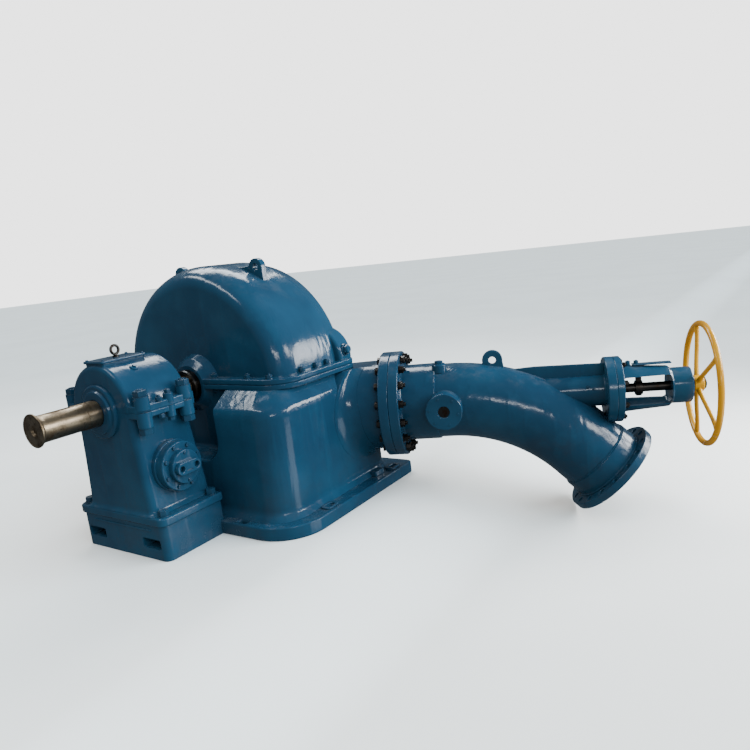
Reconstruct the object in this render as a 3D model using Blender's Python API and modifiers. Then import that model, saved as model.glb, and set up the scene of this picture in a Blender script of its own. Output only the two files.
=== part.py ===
"""Inclined-jet water turbine: bearing pedestal, split casing, nozzle elbow and needle gear.

Units are metres and +Z is up. The origin lies under the shaft axis, on the underside of the base
plate, in the middle of its front strip. +X points to the nozzle side and +Y runs along the shaft
into the casing. Places in y are counted from the middle of the wheel, which lies at WHEEL_Y.
"""

import math

import bmesh
import bpy
from mathutils import Vector

# Clearance kept between two pieces that touch
GAP = 0.0003

# Distance from the origin back to the middle of the wheel
WHEEL_Y = 0.480

# Shaft line
SHAFT_Z = 0.578
SHAFT_R = 0.050
COLLAR_R = 0.062
SHAFT_FRONT = -1.079

# Wheel
RUNNER_CUPS = 16

# Split plane and flange of the casing
SPLIT_Z = 0.5865
FLANGE_HALF = 0.540
FLANGE_FRONT = -0.370
FLANGE_REAR = 0.125
FLANGE_TOP = 0.610
FLANGE_BOTTOM = 0.565

# Upper hood, turned about the shaft axis
HOOD_R = 0.500
HOOD_WALL = 0.014
HOOD_FRONT = -0.315
HOOD_REAR = 0.135
HOOD_STEPS = 44

# Lower casing
CASE_HALF = 0.560
CASE_FRONT = -0.480
CASE_REAR = 0.300
CASE_CORNER = 0.115
CASE_WALL = 0.016
SHOULDER_Z = 0.500

# Base plate
PLATE_HALF = 0.646
PLATE_FRONT = -0.542
PLATE_REAR = 0.360
PLATE_TOP = 0.056

# Bearing pedestal
PED_FRONT = -0.819
PED_REAR = -0.515
PED_HALF = 0.254
PED_TOP = 0.176
BEARING_FRONT = -0.811
BEARING_REAR = -0.535
CAP_R = 0.180

# Nozzle line: horizontal, 22.5 degrees off the plane of the wheel
JET_ORIGIN = Vector((0.633, 0.208, 0.375))
JET_TURN = 22.5
JET_SIN = math.sin(math.radians(JET_TURN))
JET_COS = math.cos(math.radians(JET_TURN))
NECK_R = 0.200
NECK_FLARE_ALONG = 0.078
NECK_FLARE_WALL = 0.060
PIPE_FLANGE_R = 0.235
SPOOL_R = 0.170
PIPE_R = 0.1637
PIPE_BORE = 0.150
SPOOL_START = 0.0438
SPOOL_END = 0.235
BEND_START = 0.283
BEND_R = 0.790
BEND_ANGLE = 45.0
ROD_WAY_END = 44.0                     # degrees around the bend beyond which the rod is out of the pipe
TAIL = 0.153
INLET_FLANGE_R = 0.220
INLET_FLANGE_T = 0.034
TUBE_R = 0.068
TUBE_END = 0.947
TUBE_FLANGE_R = 0.140
YOKE_START = 0.9843
YOKE_ARMS = 1.012
YOKE_HUB = 1.212
YOKE_END = 1.289
SPINDLE_R = 0.0195
WHEEL_S = 1.336
WHEEL_R = 0.2495
WHEEL_TUBE = 0.0135

BLUE = (0.020, 0.075, 0.125)
STEEL = (0.300, 0.230, 0.170)
DARK_STEEL = (0.045, 0.036, 0.030)
BRONZE = (0.420, 0.300, 0.140)
OCHRE = (0.560, 0.330, 0.040)


# Scene set-up and small helpers

def clear_scene():
    """Remove every object that the start-up file brings."""
    for obj in list(bpy.data.objects):
        bpy.data.objects.remove(obj, do_unlink=True)


def make_collection(name):
    """New collection linked to the scene."""
    coll = bpy.data.collections.new(name)
    bpy.context.scene.collection.children.link(coll)
    return coll


def make_material(name, colour, roughness, metallic):
    """Principled material of one colour."""
    mat = bpy.data.materials.new(name)
    mat.use_nodes = True
    shader = mat.node_tree.nodes["Principled BSDF"]
    shader.inputs["Base Color"].default_value = (*colour, 1.0)
    shader.inputs["Roughness"].default_value = roughness
    shader.inputs["Metallic"].default_value = metallic
    mat.diffuse_color = (*colour, 1.0)
    return mat


def make_empty(name, location, rotation=(0.0, 0.0, 0.0), parent=None):
    """Axis that pieces are parented to."""
    empty = bpy.data.objects.new(name, None)
    empty.location = location
    empty.rotation_euler = rotation
    empty.empty_display_size = 0.1
    empty.parent = parent
    turbine.objects.link(empty)
    return empty


def add_object(name, mesh, parent=None, location=(0, 0, 0), rotation=(0, 0, 0)):
    """Object for a mesh, placed in its parent's frame or else in the frame of the wheel."""
    obj = bpy.data.objects.new(name, mesh)
    turbine.objects.link(obj)
    obj.parent = parent or wheel_frame
    obj.location = location
    obj.rotation_euler = rotation
    return obj


def evaluated_mesh(obj):
    """Mesh of an object with its modifiers worked in."""
    bpy.context.view_layer.update()
    graph = bpy.context.evaluated_depsgraph_get()
    return bpy.data.meshes.new_from_object(obj.evaluated_get(graph))


def apply_modifiers(obj):
    """Keep the evaluated mesh and drop the modifiers."""
    mesh = evaluated_mesh(obj)
    obj.modifiers.clear()
    obj.data = mesh
    return obj


def combine(obj, others, operation):
    """Exact Boolean of an object with each of the others, which are then removed."""
    for other in others:
        mod = obj.modifiers.new(operation.title(), "BOOLEAN")
        mod.operation = operation
        mod.solver = "EXACT"
        mod.object = other
        apply_modifiers(obj)
        bpy.data.objects.remove(other, do_unlink=True)
    return obj


def join_to(obj, *others):
    """Unite pieces that are one casting or one weldment."""
    return combine(obj, others, "UNION")


def cut_from(obj, *others):
    """Take shapes out of a piece."""
    return combine(obj, others, "DIFFERENCE")


def finish(obj, material, angle=35.0):
    """Give a piece its material and smooth its round faces."""
    obj.data.materials.clear()
    obj.data.materials.append(material)
    obj.data.shade_smooth()
    obj.data.set_sharp_from_angle(angle=math.radians(angle))
    return obj


# Shapes

def circle_points(radius, count=32, centre=(0.0, 0.0), start=0.0, sweep=360.0):
    """Points on a circle in the plane of an outline."""
    points = []
    for i in range(count):
        a = math.radians(start + sweep * i / count)
        points.append((centre[0] + radius * math.cos(a), centre[1] + radius * math.sin(a)))
    return points


def rounded_rect(x0, x1, y0, y1, front, rear=None, count=6):
    """Rectangle with round corners: one radius at the front (low y), one at the rear."""
    rear = front if rear is None else rear
    corners = (
        (x1 - front, y0 + front, front, -90.0),
        (x1 - rear, y1 - rear, rear, 0.0),
        (x0 + rear, y1 - rear, rear, 90.0),
        (x0 + front, y0 + front, front, 180.0),
    )
    points = []
    for cx, cy, radius, start in corners:
        for i in range(count + 1):
            a = math.radians(start + 90.0 * i / count)
            points.append((cx + radius * math.cos(a), cy + radius * math.sin(a)))
    return points


def slot_points(centre, length, width, along_y, count=5):
    """Outline of a slot with round ends."""
    r = width / 2
    half = length / 2 - r
    points = []
    for i in range(count + 1):
        a = math.radians(-90.0 + 180.0 * i / count)
        points.append((half + r * math.cos(a), r * math.sin(a)))
    for i in range(count + 1):
        a = math.radians(90.0 + 180.0 * i / count)
        points.append((-half + r * math.cos(a), r * math.sin(a)))
    if along_y:
        points = [(-y, x) for x, y in points]
    return [(centre[0] + x, centre[1] + y) for x, y in points]


def slab(name, outline, low, high, holes=(), parent=None, location=(0, 0, 0), rotation=(0, 0, 0)):
    """Flat plate from a filled 2D curve, between two heights of its own frame."""
    curve = bpy.data.curves.new(name, "CURVE")
    curve.dimensions = "2D"
    curve.fill_mode = "BOTH"
    curve.extrude = (high - low) / 2
    for loop in (outline, *holes):
        spline = curve.splines.new("POLY")
        spline.points.add(len(loop) - 1)
        for point, (x, y) in zip(spline.points, loop):
            point.co = (x, y, 0.0, 1.0)
        spline.use_cyclic_u = True
    source = add_object(name + "_outline", curve)
    mesh = evaluated_mesh(source)
    bpy.data.objects.remove(source, do_unlink=True)
    plate = bmesh.new()
    plate.from_mesh(mesh)
    bmesh.ops.remove_doubles(plate, verts=plate.verts, dist=0.00001)
    bmesh.ops.translate(plate, verts=plate.verts, vec=(0, 0, (low + high) / 2))
    bmesh.ops.recalc_face_normals(plate, faces=plate.faces)
    plate.to_mesh(mesh)
    plate.free()
    return add_object(name, mesh, parent, location, rotation)


def turned(name, profile, parent=None, steps=48, location=(0, 0, 0), rotation=(0, 0, 0)):
    """Solid of revolution about the frame's Z axis.

    The profile lists (radius, station) from the top down its outer side. It is closed on the axis
    when it starts and ends there, and is a closed ring otherwise.
    """
    mesh = bpy.data.meshes.new(name)
    verts = [(r, 0.0, z) for r, z in profile]
    edges = [(i, i + 1) for i in range(len(verts) - 1)]
    if profile[0][0] > 0.0:
        edges.append((len(verts) - 1, 0))
    mesh.from_pydata(verts, edges, [])
    obj = add_object(name, mesh, parent, location, rotation)
    screw = obj.modifiers.new("Turn", "SCREW")
    screw.steps = steps
    screw.render_steps = steps
    screw.use_merge_vertices = True
    screw.merge_threshold = 0.00001
    return apply_modifiers(obj)


def rod(name, radius, low, high, parent=None, steps=24, location=(0, 0, 0), rotation=(0, 0, 0)):
    """Plain round bar along the frame's Z axis."""
    profile = [(0.0, high), (radius, high), (radius, low), (0.0, low)]
    return turned(name, profile, parent, steps, location, rotation)


def hexagon(name, across, low, high, parent=None, location=(0, 0, 0), rotation=(0, 0, 0)):
    """Hexagon nut or bolt head."""
    outline = circle_points(across / math.sqrt(3.0), 6)
    return slab(name, outline, low, high, (), parent, location, rotation)


def box(name, x0, x1, y0, y1, z0, z1, parent=None, round_edge=0.0):
    """Block between two corners, its edges rounded if asked."""
    mesh = bpy.data.meshes.new(name)
    block = bmesh.new()
    bmesh.ops.create_cube(block, size=1.0)
    bmesh.ops.scale(block, vec=(x1 - x0, y1 - y0, z1 - z0), verts=block.verts)
    centre = ((x0 + x1) / 2, (y0 + y1) / 2, (z0 + z1) / 2)
    bmesh.ops.translate(block, vec=centre, verts=block.verts)
    block.to_mesh(mesh)
    block.free()
    obj = add_object(name, mesh, parent)
    if round_edge > 0.0:
        bevel = obj.modifiers.new("Round edges", "BEVEL")
        bevel.width = round_edge
        bevel.segments = 2
        apply_modifiers(obj)
    return obj


def loft(name, sections, parent=None):
    """Closed body through sections with the same number of points each, bottom to top."""
    mesh = bpy.data.meshes.new(name)
    body = bmesh.new()
    rings = []
    for z, outline in sections:
        rings.append([body.verts.new((x, y, z)) for x, y in outline])
    count = len(rings[0])
    for low, high in zip(rings, rings[1:]):
        for i in range(count):
            j = (i + 1) % count
            body.faces.new((low[i], low[j], high[j], high[i]))
    body.faces.new(list(reversed(rings[0])))
    body.faces.new(rings[-1])
    bmesh.ops.recalc_face_normals(body, faces=body.faces)
    body.to_mesh(mesh)
    body.free()
    return add_object(name, mesh, parent)


def swept(name, path, radius, parent=None, resolution=6, cyclic=False):
    """Round bar along a path: a curve with a bevel, made a mesh with its caps welded."""
    curve = bpy.data.curves.new(name, "CURVE")
    curve.dimensions = "3D"
    curve.bevel_depth = radius
    curve.bevel_resolution = resolution
    curve.use_fill_caps = not cyclic
    spline = curve.splines.new("POLY")
    spline.points.add(len(path) - 1)
    for point, co in zip(spline.points, path):
        point.co = (*co, 1.0)
    spline.use_cyclic_u = cyclic
    source = add_object(name + "_path", curve)
    mesh = evaluated_mesh(source)
    bpy.data.objects.remove(source, do_unlink=True)
    tube = bmesh.new()
    tube.from_mesh(mesh)
    bmesh.ops.remove_doubles(tube, verts=tube.verts, dist=0.00001)
    bmesh.ops.recalc_face_normals(tube, faces=tube.faces)
    tube.to_mesh(mesh)
    tube.free()
    return add_object(name, mesh, parent)


def below(name, z, size=3.0):
    """Cutter that takes away all that lies below a height."""
    return box(name, -size, size, -size, size, z - size, z)


def above(name, z, size=3.0):
    """Cutter that takes away all that lies above a height."""
    return box(name, -size, size, -size, size, z, z + size)


# Foundation plate and casing

def make_base_plate():
    """Plate under the casing with its water opening and slotted anchor holes."""
    outline = rounded_rect(-PLATE_HALF, PLATE_HALF, PLATE_FRONT, PLATE_REAR, 0.190, 0.030, 6)
    holes = [rounded_rect(-0.50, 0.50, -0.415, 0.235, 0.080, 0.080, 4)]
    for side in (-1, 1):
        holes.append(slot_points((side * 0.352, -0.514), 0.050, 0.024, False))
        holes.append(slot_points((side * 0.606, -0.262), 0.050, 0.024, True))
        holes.append(slot_points((side * 0.606, 0.235), 0.050, 0.024, True))
        holes.append(slot_points((side * 0.300, 0.330), 0.050, 0.022, False))
    return finish(slab("base_plate", outline, 0.0, PLATE_TOP, holes), blue)


def casing_section(grow, front, rear, corner):
    """Plan of the lower casing, grown or shrunk on its sides."""
    half = CASE_HALF + grow
    return rounded_rect(-half, half, front, rear, corner, corner, 5)


def casing_outer(name, grow=0.0):
    """Outer shape of the lower casing: foot, walls, rounded shoulder and sloping top."""
    front, rear = CASE_FRONT - grow, CASE_REAR + grow
    low, top = PLATE_TOP + GAP - grow, FLANGE_BOTTOM + 0.002
    return loft(name, [
        (low, casing_section(grow + 0.016, front - 0.016, rear + 0.016, 0.130)),
        (0.068, casing_section(grow + 0.006, front - 0.006, rear + 0.006, 0.120)),
        (0.085, casing_section(grow, front, rear, CASE_CORNER)),
        (0.478, casing_section(grow - 0.001, front, rear, CASE_CORNER)),
        (SHOULDER_Z - 0.004, casing_section(grow - 0.005, front + 0.006, rear - 0.006, 0.110)),
        (SHOULDER_Z + 0.008, casing_section(grow - 0.014, front + 0.022, rear - 0.022, 0.105)),
        (top, casing_section(grow - 0.052, FLANGE_FRONT - 0.012 - grow, FLANGE_REAR + 0.035 + grow, 0.100)),
    ])


def make_casing():
    """Lower casing: open to the tailrace below, with the recess under the shaft and its flange."""
    case = casing_outer("casing")
    void = loft("casing_void", [
        (-0.05, rounded_rect(-0.50, 0.50, -0.415, 0.235, 0.080, 0.080, 4)),
        (0.080, rounded_rect(-0.50, 0.50, -0.415, 0.235, 0.080, 0.080, 4)),
        (0.085, rounded_rect(-0.544, 0.544, -0.464, 0.284, 0.100, 0.100, 4)),
        (0.470, rounded_rect(-0.544, 0.544, -0.464, 0.284, 0.100, 0.100, 4)),
        (0.492, rounded_rect(-0.528, 0.528, -0.440, 0.262, 0.090, 0.090, 4)),
        (0.555, rounded_rect(-0.490, 0.490, -0.345, 0.120, 0.060, 0.060, 4)),
        (0.640, rounded_rect(-0.470, 0.470, -0.290, 0.100, 0.050, 0.050, 4)),
    ])
    flange = slab("casing_flange", flange_outline(), FLANGE_BOTTOM, SPLIT_Z)
    recess = recess_block("casing_recess", 0.0)
    cut_from(void, recess_block("recess_wall", CASE_WALL))
    seat = turned("seal_seat", [
        (0.0, -0.300), (0.130, -0.300), (0.128, -0.330), (0.108, -0.358), (0.088, FLANGE_FRONT - 0.0005),
        (0.0, FLANGE_FRONT - 0.0005),
    ], shaft_axis, 32)
    bore = rod("neck_bore", 0.168, -0.45, 0.10, jet_axis, 40)
    cut_from(case, recess)
    join_to(case, flange)
    cut_from(case, void)
    join_to(case, seat)
    cut_from(case, above("split_cut", SPLIT_Z), bore, rod("shaft_way", 0.056, -0.6, -0.2, shaft_axis, 28))
    return finish(case, blue)


def neck_ring(share, steps=40):
    """Ring of the flare in the nozzle frame.

    Share 0 lies on the band of the neck and share 1 on the plane of the casing wall. Between them each
    point runs on a curve that leaves along the neck and arrives along the wall. The flare is widest
    in front and below and dies out behind, where the neck runs past the corner of the casing.
    """
    points = []
    for i in range(steps):
        a = 2 * math.pi * i / steps
        rear, down = math.sin(a), math.cos(a)
        wide = min(max((0.55 - rear) / 1.1, 0.0), 1.0)
        wide = (0.1 + 0.9 * wide * wide * (3 - 2 * wide)) * (1.0 - 0.55 * max(-down, 0.0))
        corner = min((CASE_HALF - JET_ORIGIN[0] + JET_SIN * NECK_R * rear) / JET_COS, -0.008)
        start = min(corner + NECK_FLARE_ALONG * wide, -0.004)
        slant = math.hypot(JET_COS * rear, down)
        reach = NECK_FLARE_WALL * wide / slant
        # Along the wall, one step across and down goes with JET_SIN * JET_COS of a step along the neck
        end = (NECK_R * down + reach * down, NECK_R * rear + reach * JET_COS * JET_COS * rear,
               corner + reach * JET_COS * rear * JET_SIN)
        u, v, w = (1 - share) ** 2, 2 * share * (1 - share), share ** 2
        points.append((
            (u + v) * NECK_R * down + w * end[0],
            (u + v) * NECK_R * rear + w * end[1],
            u * start + v * corner + w * end[2],
        ))
    return points


def make_casing_neck():
    """Inlet neck: a round band that flares into the casing wall and carries the nozzle's flange."""
    mesh = bpy.data.meshes.new("casing_neck")
    body = bmesh.new()
    lines = [[(x, y, 0.001) for x, y in circle_points(NECK_R, 40)]]
    lines += [neck_ring(share) for share in (0.0, 0.25, 0.5, 0.75, 1.0)]
    lines.append([(x, y, z - 0.045) for x, y, z in lines[-1]])
    lines.append([(x, y, -0.330) for x, y in circle_points(0.190, 40)])
    rings = [[body.verts.new(point) for point in line] for line in lines]
    for low, high in zip(rings, rings[1:]):
        for i in range(40):
            body.faces.new((low[i], low[(i + 1) % 40], high[(i + 1) % 40], high[i]))
    body.faces.new(list(reversed(rings[0])))
    body.faces.new(rings[-1])
    bmesh.ops.recalc_face_normals(body, faces=body.faces)
    body.to_mesh(mesh)
    body.free()
    neck = add_object("casing_neck", mesh, jet_axis)
    rear = box("neck_rear", -3.0, 3.0, 0.384, 3.0, -3.0, 3.0)
    cut_from(neck, above("neck_top", FLANGE_BOTTOM - GAP), rear, casing_outer("casing_skin", GAP))
    mouth = turned("neck_flange", [
        (0.235, 0.0433), (0.235, 0.0), (0.202, -0.001), (0.168, -0.001), (0.168, 0.0433),
    ], jet_axis, 40)
    join_to(neck, mouth)
    cut_from(neck, rod("neck_bore", 0.168, -0.45, 0.10, jet_axis, 40))
    return finish(neck, blue)


def flange_outline():
    """Outline of the split flange, its front corners rounded wide."""
    return rounded_rect(-FLANGE_HALF, FLANGE_HALF, FLANGE_FRONT, FLANGE_REAR, 0.120, 0.030, 6)


def recess_block(name, wall):
    """Niche in the front wall under the shaft, larger by a wall where asked."""
    half = 0.232 + wall
    outline = rounded_rect(-half, half, 0.290 - wall, 0.800, 0.090, 0.010, 5)
    obj = slab(name, outline, 0.345 - wall, 0.700)
    obj.rotation_euler = (math.radians(90.0), 0.0, 0.0)
    return obj


# Upper hood

def hood_profile(grow=0.0):
    """Half section of the hood from its rear face to its front face, grown by a clearance."""
    rear, front = HOOD_REAR + grow, HOOD_FRONT - grow
    profile = [(0.0, rear), (0.440, rear), (0.468 + grow, 0.128), (0.482 + grow, 0.112), (0.492 + grow, 0.085)]
    profile.append((HOOD_R + grow, 0.030))
    for i in range(6):
        a = math.radians(90.0 * i / 5)
        profile.append((HOOD_R + grow - 0.086 * (1 - math.cos(a)), front + 0.130 * (1 - math.sin(a))))
    profile.append((0.0, front))
    return profile


def make_hood():
    """Half-round hood over the wheel, cast with its flange and with the seat of the shaft seal."""
    outer = hood_profile()
    inner = []
    for r, y in outer:
        r_in = max(0.0, r - HOOD_WALL)
        y_in = min(max(y, HOOD_FRONT + HOOD_WALL), HOOD_REAR - HOOD_WALL)
        if not inner or (r_in, y_in) != inner[-1]:
            inner.append((r_in, y_in))
    hood = turned("hood", outer, shaft_axis, HOOD_STEPS)
    void = turned("hood_void", inner, shaft_axis, HOOD_STEPS)
    cut_from(hood, below("hood_cut", SPLIT_Z + 0.006))
    flange = slab("hood_flange", flange_outline(), SPLIT_Z + GAP, FLANGE_TOP)
    seat = turned("hood_seat", [
        (0.0, -0.290), (0.130, -0.290), (0.128, -0.330), (0.108, -0.358), (0.088, FLANGE_FRONT - 0.0005),
        (0.0, FLANGE_FRONT - 0.0005),
    ], shaft_axis, 36)
    join_to(hood, flange, seat, *deflector_housing())
    cut_from(hood, void, below("hood_base", SPLIT_Z + GAP))
    way = slab("hood_opening", rounded_rect(-0.470, 0.470, -0.290, 0.100, 0.050, 0.050, 4), 0.50, 0.64)
    cut_from(hood, way, rod("hood_shaft_way", 0.056, -0.6, -0.2, shaft_axis, 32))
    return finish(hood, blue)


def deflector_housing():
    """Side lobe of the hood over the jet deflector, with the plugged boss of its shaft."""
    lobe = turned("lobe", [
        (0.0, 0.125), (0.118, 0.125), (0.130, 0.112), (0.130, 0.052), (0.122, 0.036), (0.0, 0.036),
    ], None, 28, (0.398, 0.0, 0.625), (math.radians(-90.0), 0.0, 0.0))
    boss = rod("boss", 0.017, 0.0, 0.150, None, 14, (0.400, 0.078, 0.652), (0.0, math.radians(90.0), 0.0))
    return lobe, boss


def make_hood_lug(name, side, centre):
    """Lifting eye on the hood: an upright plate with a round top, its web running to the crown."""
    inner = side * (abs(centre) - 0.158)
    outer = side * (abs(centre) + 0.038)
    top = circle_points(0.037, 10, (centre, 1.050), 90.0 - side * 90.0, side * 200.0)
    outline = [(outer, 0.940)] + top + [(side * (abs(centre) - 0.042), 1.056), (inner, 1.056), (inner, 0.940)]
    hole = circle_points(0.014, 12, (centre, 1.050))
    lug = slab(name, outline, -0.015, 0.015, [hole], None, (0.0, -0.105, 0.0), (math.radians(90.0), 0.0, 0.0))
    skin = turned("hood_skin", hood_profile(GAP), shaft_axis, HOOD_STEPS)
    cut_from(lug, skin)
    return finish(lug, blue)


# Shaft line

def make_shaft():
    """Shaft with its end collar, carried by the pedestal, and reaching to the wheel."""
    shaft = turned("shaft", [
        (0.0, 0.030), (0.046, 0.030), (0.046, -0.0303), (SHAFT_R, -0.040), (SHAFT_R, SHAFT_FRONT + 0.052),
        (0.0505, SHAFT_FRONT + 0.045), (0.056, SHAFT_FRONT + 0.036), (COLLAR_R, SHAFT_FRONT + 0.022),
        (COLLAR_R, SHAFT_FRONT + 0.003), (COLLAR_R - 0.003, SHAFT_FRONT), (0.0, SHAFT_FRONT),
    ], shaft_axis, 28)
    keyway = slab("keyway", slot_points((0.0, -0.925), 0.135, 0.026, True), 0.037, 0.080)
    keyway.parent = shaft_axis
    keyway.rotation_euler = (math.radians(90.0), 0.0, 0.0)
    cut_from(shaft, keyway)
    return finish(shaft, steel)


def make_runner():
    """Wheel of the inclined-jet type: a hub disc with a ring of cups between two rims."""
    hub = turned("runner", [
        (0.168, 0.024), (0.168, -0.024), (0.085, -0.0300), (0.0465, -0.0300), (0.0465, 0.040),
        (0.085, 0.040),
    ], shaft_axis, 32)
    rim = turned("runner_rim", [(0.282, 0.040), (0.282, -0.020), (0.272, -0.020), (0.272, 0.040)], shaft_axis, 32)
    cups = []
    for i in range(RUNNER_CUPS):
        cup = box("cup", -0.005, 0.005, 0.155, 0.278, -0.026, 0.034)
        cup.parent = shaft_axis
        cup.rotation_euler = (0.0, 0.0, math.radians(360.0 * i / RUNNER_CUPS))
        cups.append(cup)
    join_to(hub, *cups, rim)
    return finish(hub, bronze)


def make_shaft_seal():
    """Split gland ring of the shaft seal, bolted on the front of the casing."""
    ring = turned("shaft_seal", [
        (0.074, FLANGE_FRONT - 0.0008), (0.074, -0.392), (0.070, -0.398), (0.0515, -0.398),
        (0.0515, FLANGE_FRONT - 0.0008),
    ], shaft_axis, 28)
    return finish(ring, steel)


# Bearing pedestal

def make_pedestal_base():
    """Foot of the pedestal: a hollow block with a lip, two windows in front and anchor holes."""
    half = PED_HALF + 0.010
    block = slab("pedestal_base", rounded_rect(-PED_HALF, PED_HALF, PED_FRONT, PED_REAR - 0.003, 0.030, 0.012, 4),
                 0.0, PED_TOP - 0.030)
    lip = slab("pedestal_lip", rounded_rect(-half, half, PED_FRONT - 0.008, PED_REAR, 0.030, 0.012, 4),
               PED_TOP - 0.032, PED_TOP)
    join_to(block, lip)
    step = box("plate_step", -0.50, 0.50, PLATE_FRONT - GAP, 0.0, -0.10, PLATE_TOP + GAP)
    windows = []
    for side in (-1, 1):
        x0, x1 = sorted((side * 0.118, side * 0.222))
        windows.append(box("window", x0, x1, PED_FRONT - 0.05, PED_FRONT + 0.090, 0.046, 0.086))
    cut_from(block, step, *windows)
    return finish(block, blue)


HOUSING_SECTIONS = (
    (PED_TOP + GAP, 0.202, BEARING_REAR + 0.017),
    (0.240, 0.197, BEARING_REAR + 0.017),
    (0.300, 0.191, BEARING_REAR + 0.014),
    (0.465, 0.179, BEARING_REAR),
    (SHAFT_Z, 0.175, BEARING_REAR),
)


def make_pedestal_housing():
    """Lower half of the bearing housing, split on the shaft axis."""
    front = BEARING_FRONT
    body = loft("pedestal_housing", [
        (z, rounded_rect(-half, half, front, back, 0.030, 0.030, 4)) for z, half, back in HOUSING_SECTIONS
    ])
    parts = [slab("housing_flange", housing_flange(), SHAFT_Z - 0.024, SHAFT_Z)]
    for x, y in boss_places():
        parts.append(slab("housing_boss", circle_points(0.030, 12, (x, y)), 0.515, SHAFT_Z - 0.001))
    join_to(body, *parts)
    cut_from(body, rod("bearing_bore", SHAFT_R + 0.001, -1.0, -0.4, shaft_axis, 28))
    return finish(body, blue)


def housing_flange():
    """Outline of the flange on which the bearing housing splits."""
    return rounded_rect(-0.245, 0.245, BEARING_FRONT + 0.002, BEARING_REAR, 0.030, 0.030, 4)


def boss_places():
    """Places of the four cap bolts."""
    return [(side * 0.212, y) for side in (-1, 1) for y in (-0.778, -0.580)]


def make_bearing_cap():
    """Cap of the bearing housing with its bolt bosses and the pad of the inspection cover."""
    front, rear = BEARING_FRONT, BEARING_REAR
    cap = turned("bearing_cap", [
        (0.0, rear), (CAP_R, rear), (CAP_R, front + 0.014), (CAP_R - 0.004, front + 0.004),
        (CAP_R - 0.014, front), (0.0, front),
    ], shaft_axis, 48)
    parts = [slab("cap_flange", housing_flange(), SHAFT_Z - 0.010, SHAFT_Z + 0.026)]
    for x, y in boss_places():
        parts.append(slab("cap_boss", circle_points(0.030, 12, (x, y)), SHAFT_Z + 0.010, 0.634))
    parts.append(box("cap_pad", -0.055, 0.055, -0.800, -0.610, 0.700, 0.7605))
    join_to(cap, *parts)
    cut_from(cap, below("cap_cut", SHAFT_Z + GAP), rod("cap_bore", SHAFT_R + 0.001, -1.0, -0.4, shaft_axis, 28))
    return finish(cap, blue)


def make_cap_cover():
    """Inspection cover on top of the cap."""
    outline = rounded_rect(-0.062, 0.062, -0.806, -0.604, 0.008, 0.008, 3)
    return finish(slab("cap_cover", outline, 0.7608, 0.7700), blue)


def make_cap_eyebolt():
    """Lifting eye screwed into the inspection cover."""
    path = [(0.0, 0.017 * math.cos(a), 0.7985 + 0.017 * math.sin(a))
            for a in (math.radians(360.0 / 16 * i) for i in range(16))]
    ring = swept("cap_eyebolt", path, 0.0055, None, 2, True)
    ring.location = (0.0, -0.700, 0.0)
    foot = turned("eyebolt_foot", [
        (0.0, 0.785), (0.006, 0.785), (0.007, 0.777), (0.0125, 0.774), (0.0125, 0.7703), (0.0, 0.7703),
    ], None, 14, (0.0, -0.700, 0.0))
    join_to(ring, foot)
    return finish(ring, dark)


def make_bearing_seal(name, stations):
    """Stepped seal cover around the shaft on one side of the bearing housing."""
    return finish(turned(name, stations, shaft_axis, 28), blue)


def make_cooler():
    """Round cooler port on the side of the pedestal: ring, bolted flange and oval manifold."""
    centre = (0.0, -0.669, 0.336)
    side = (0.0, math.radians(90.0), 0.0)
    ring = turned("cooler_ring", [
        (0.0, 0.205), (0.099, 0.205), (0.103, 0.201), (0.103, 0.150), (0.0, 0.150),
    ], None, 32, centre, side)
    skin = loft("housing_skin", [
        (z, rounded_rect(-half - GAP, half + GAP, -1.0, -0.4, 0.030, 0.030, 2)) for z, half, _ in HOUSING_SECTIONS
    ])
    cut_from(ring, skin)
    finish(ring, blue)
    finish(turned("cooler_flange", [
        (0.0, 0.240), (0.094, 0.240), (0.097, 0.237), (0.097, 0.205 + GAP), (0.0, 0.205 + GAP),
    ], None, 32, centre, side), blue)
    finish(turned("cooler_cover", [
        (0.0, 0.264), (0.064, 0.264), (0.067, 0.261), (0.067, 0.240 + GAP), (0.0, 0.240 + GAP),
    ], None, 32, centre, side), blue)
    outline = slot_points((0.0, 0.0), 0.116, 0.050, True, 6)
    holes = [circle_points(0.0115, 12, (0.0, -0.035)), circle_points(0.0115, 12, (0.0, 0.035))]
    pad = slab("cooler_manifold", outline, 0.264 + GAP, 0.283, holes, None, centre, side)
    finish(pad, blue)


def make_pedestal_bolts():
    """Bolts that hold the housing on its base."""
    for number, (x, y) in enumerate(((-0.232, -0.787), (0.232, -0.787), (-0.232, -0.551), (0.232, -0.551)), 1):
        head = hexagon("pedestal_bolt_%d" % number, 0.036, PED_TOP + GAP, PED_TOP + 0.024, None, (x, y, 0.0))
        finish(head, dark)


# Nozzle line

def bend_point(angle, radius=BEND_R):
    """Centre of the pipe at an angle around the bend, in the nozzle frame (X down, Z along)."""
    a = math.radians(angle)
    return Vector((BEND_R - radius * math.cos(a), 0.0, BEND_START + radius * math.sin(a)))


def pipe_path(start, tail, extra=0.0):
    """Centre line of the elbow: straight, bend, straight."""
    path = [Vector((0.0, 0.0, start))]
    for i in range(10):
        path.append(bend_point(BEND_ANGLE * i / 9))
    direction = inlet_direction()
    path.append(path[-1] + direction * (tail + extra))
    return path


def inlet_direction():
    """Direction in which the pipe leaves the bend."""
    a = math.radians(BEND_ANGLE)
    return Vector((math.sin(a), 0.0, math.cos(a)))


def elbow_solid(name, radius, start, tail):
    """Full round bar that follows the elbow."""
    bar = swept(name, pipe_path(start, tail), radius, None, 6)
    bar.parent = jet_axis
    return bar


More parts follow.
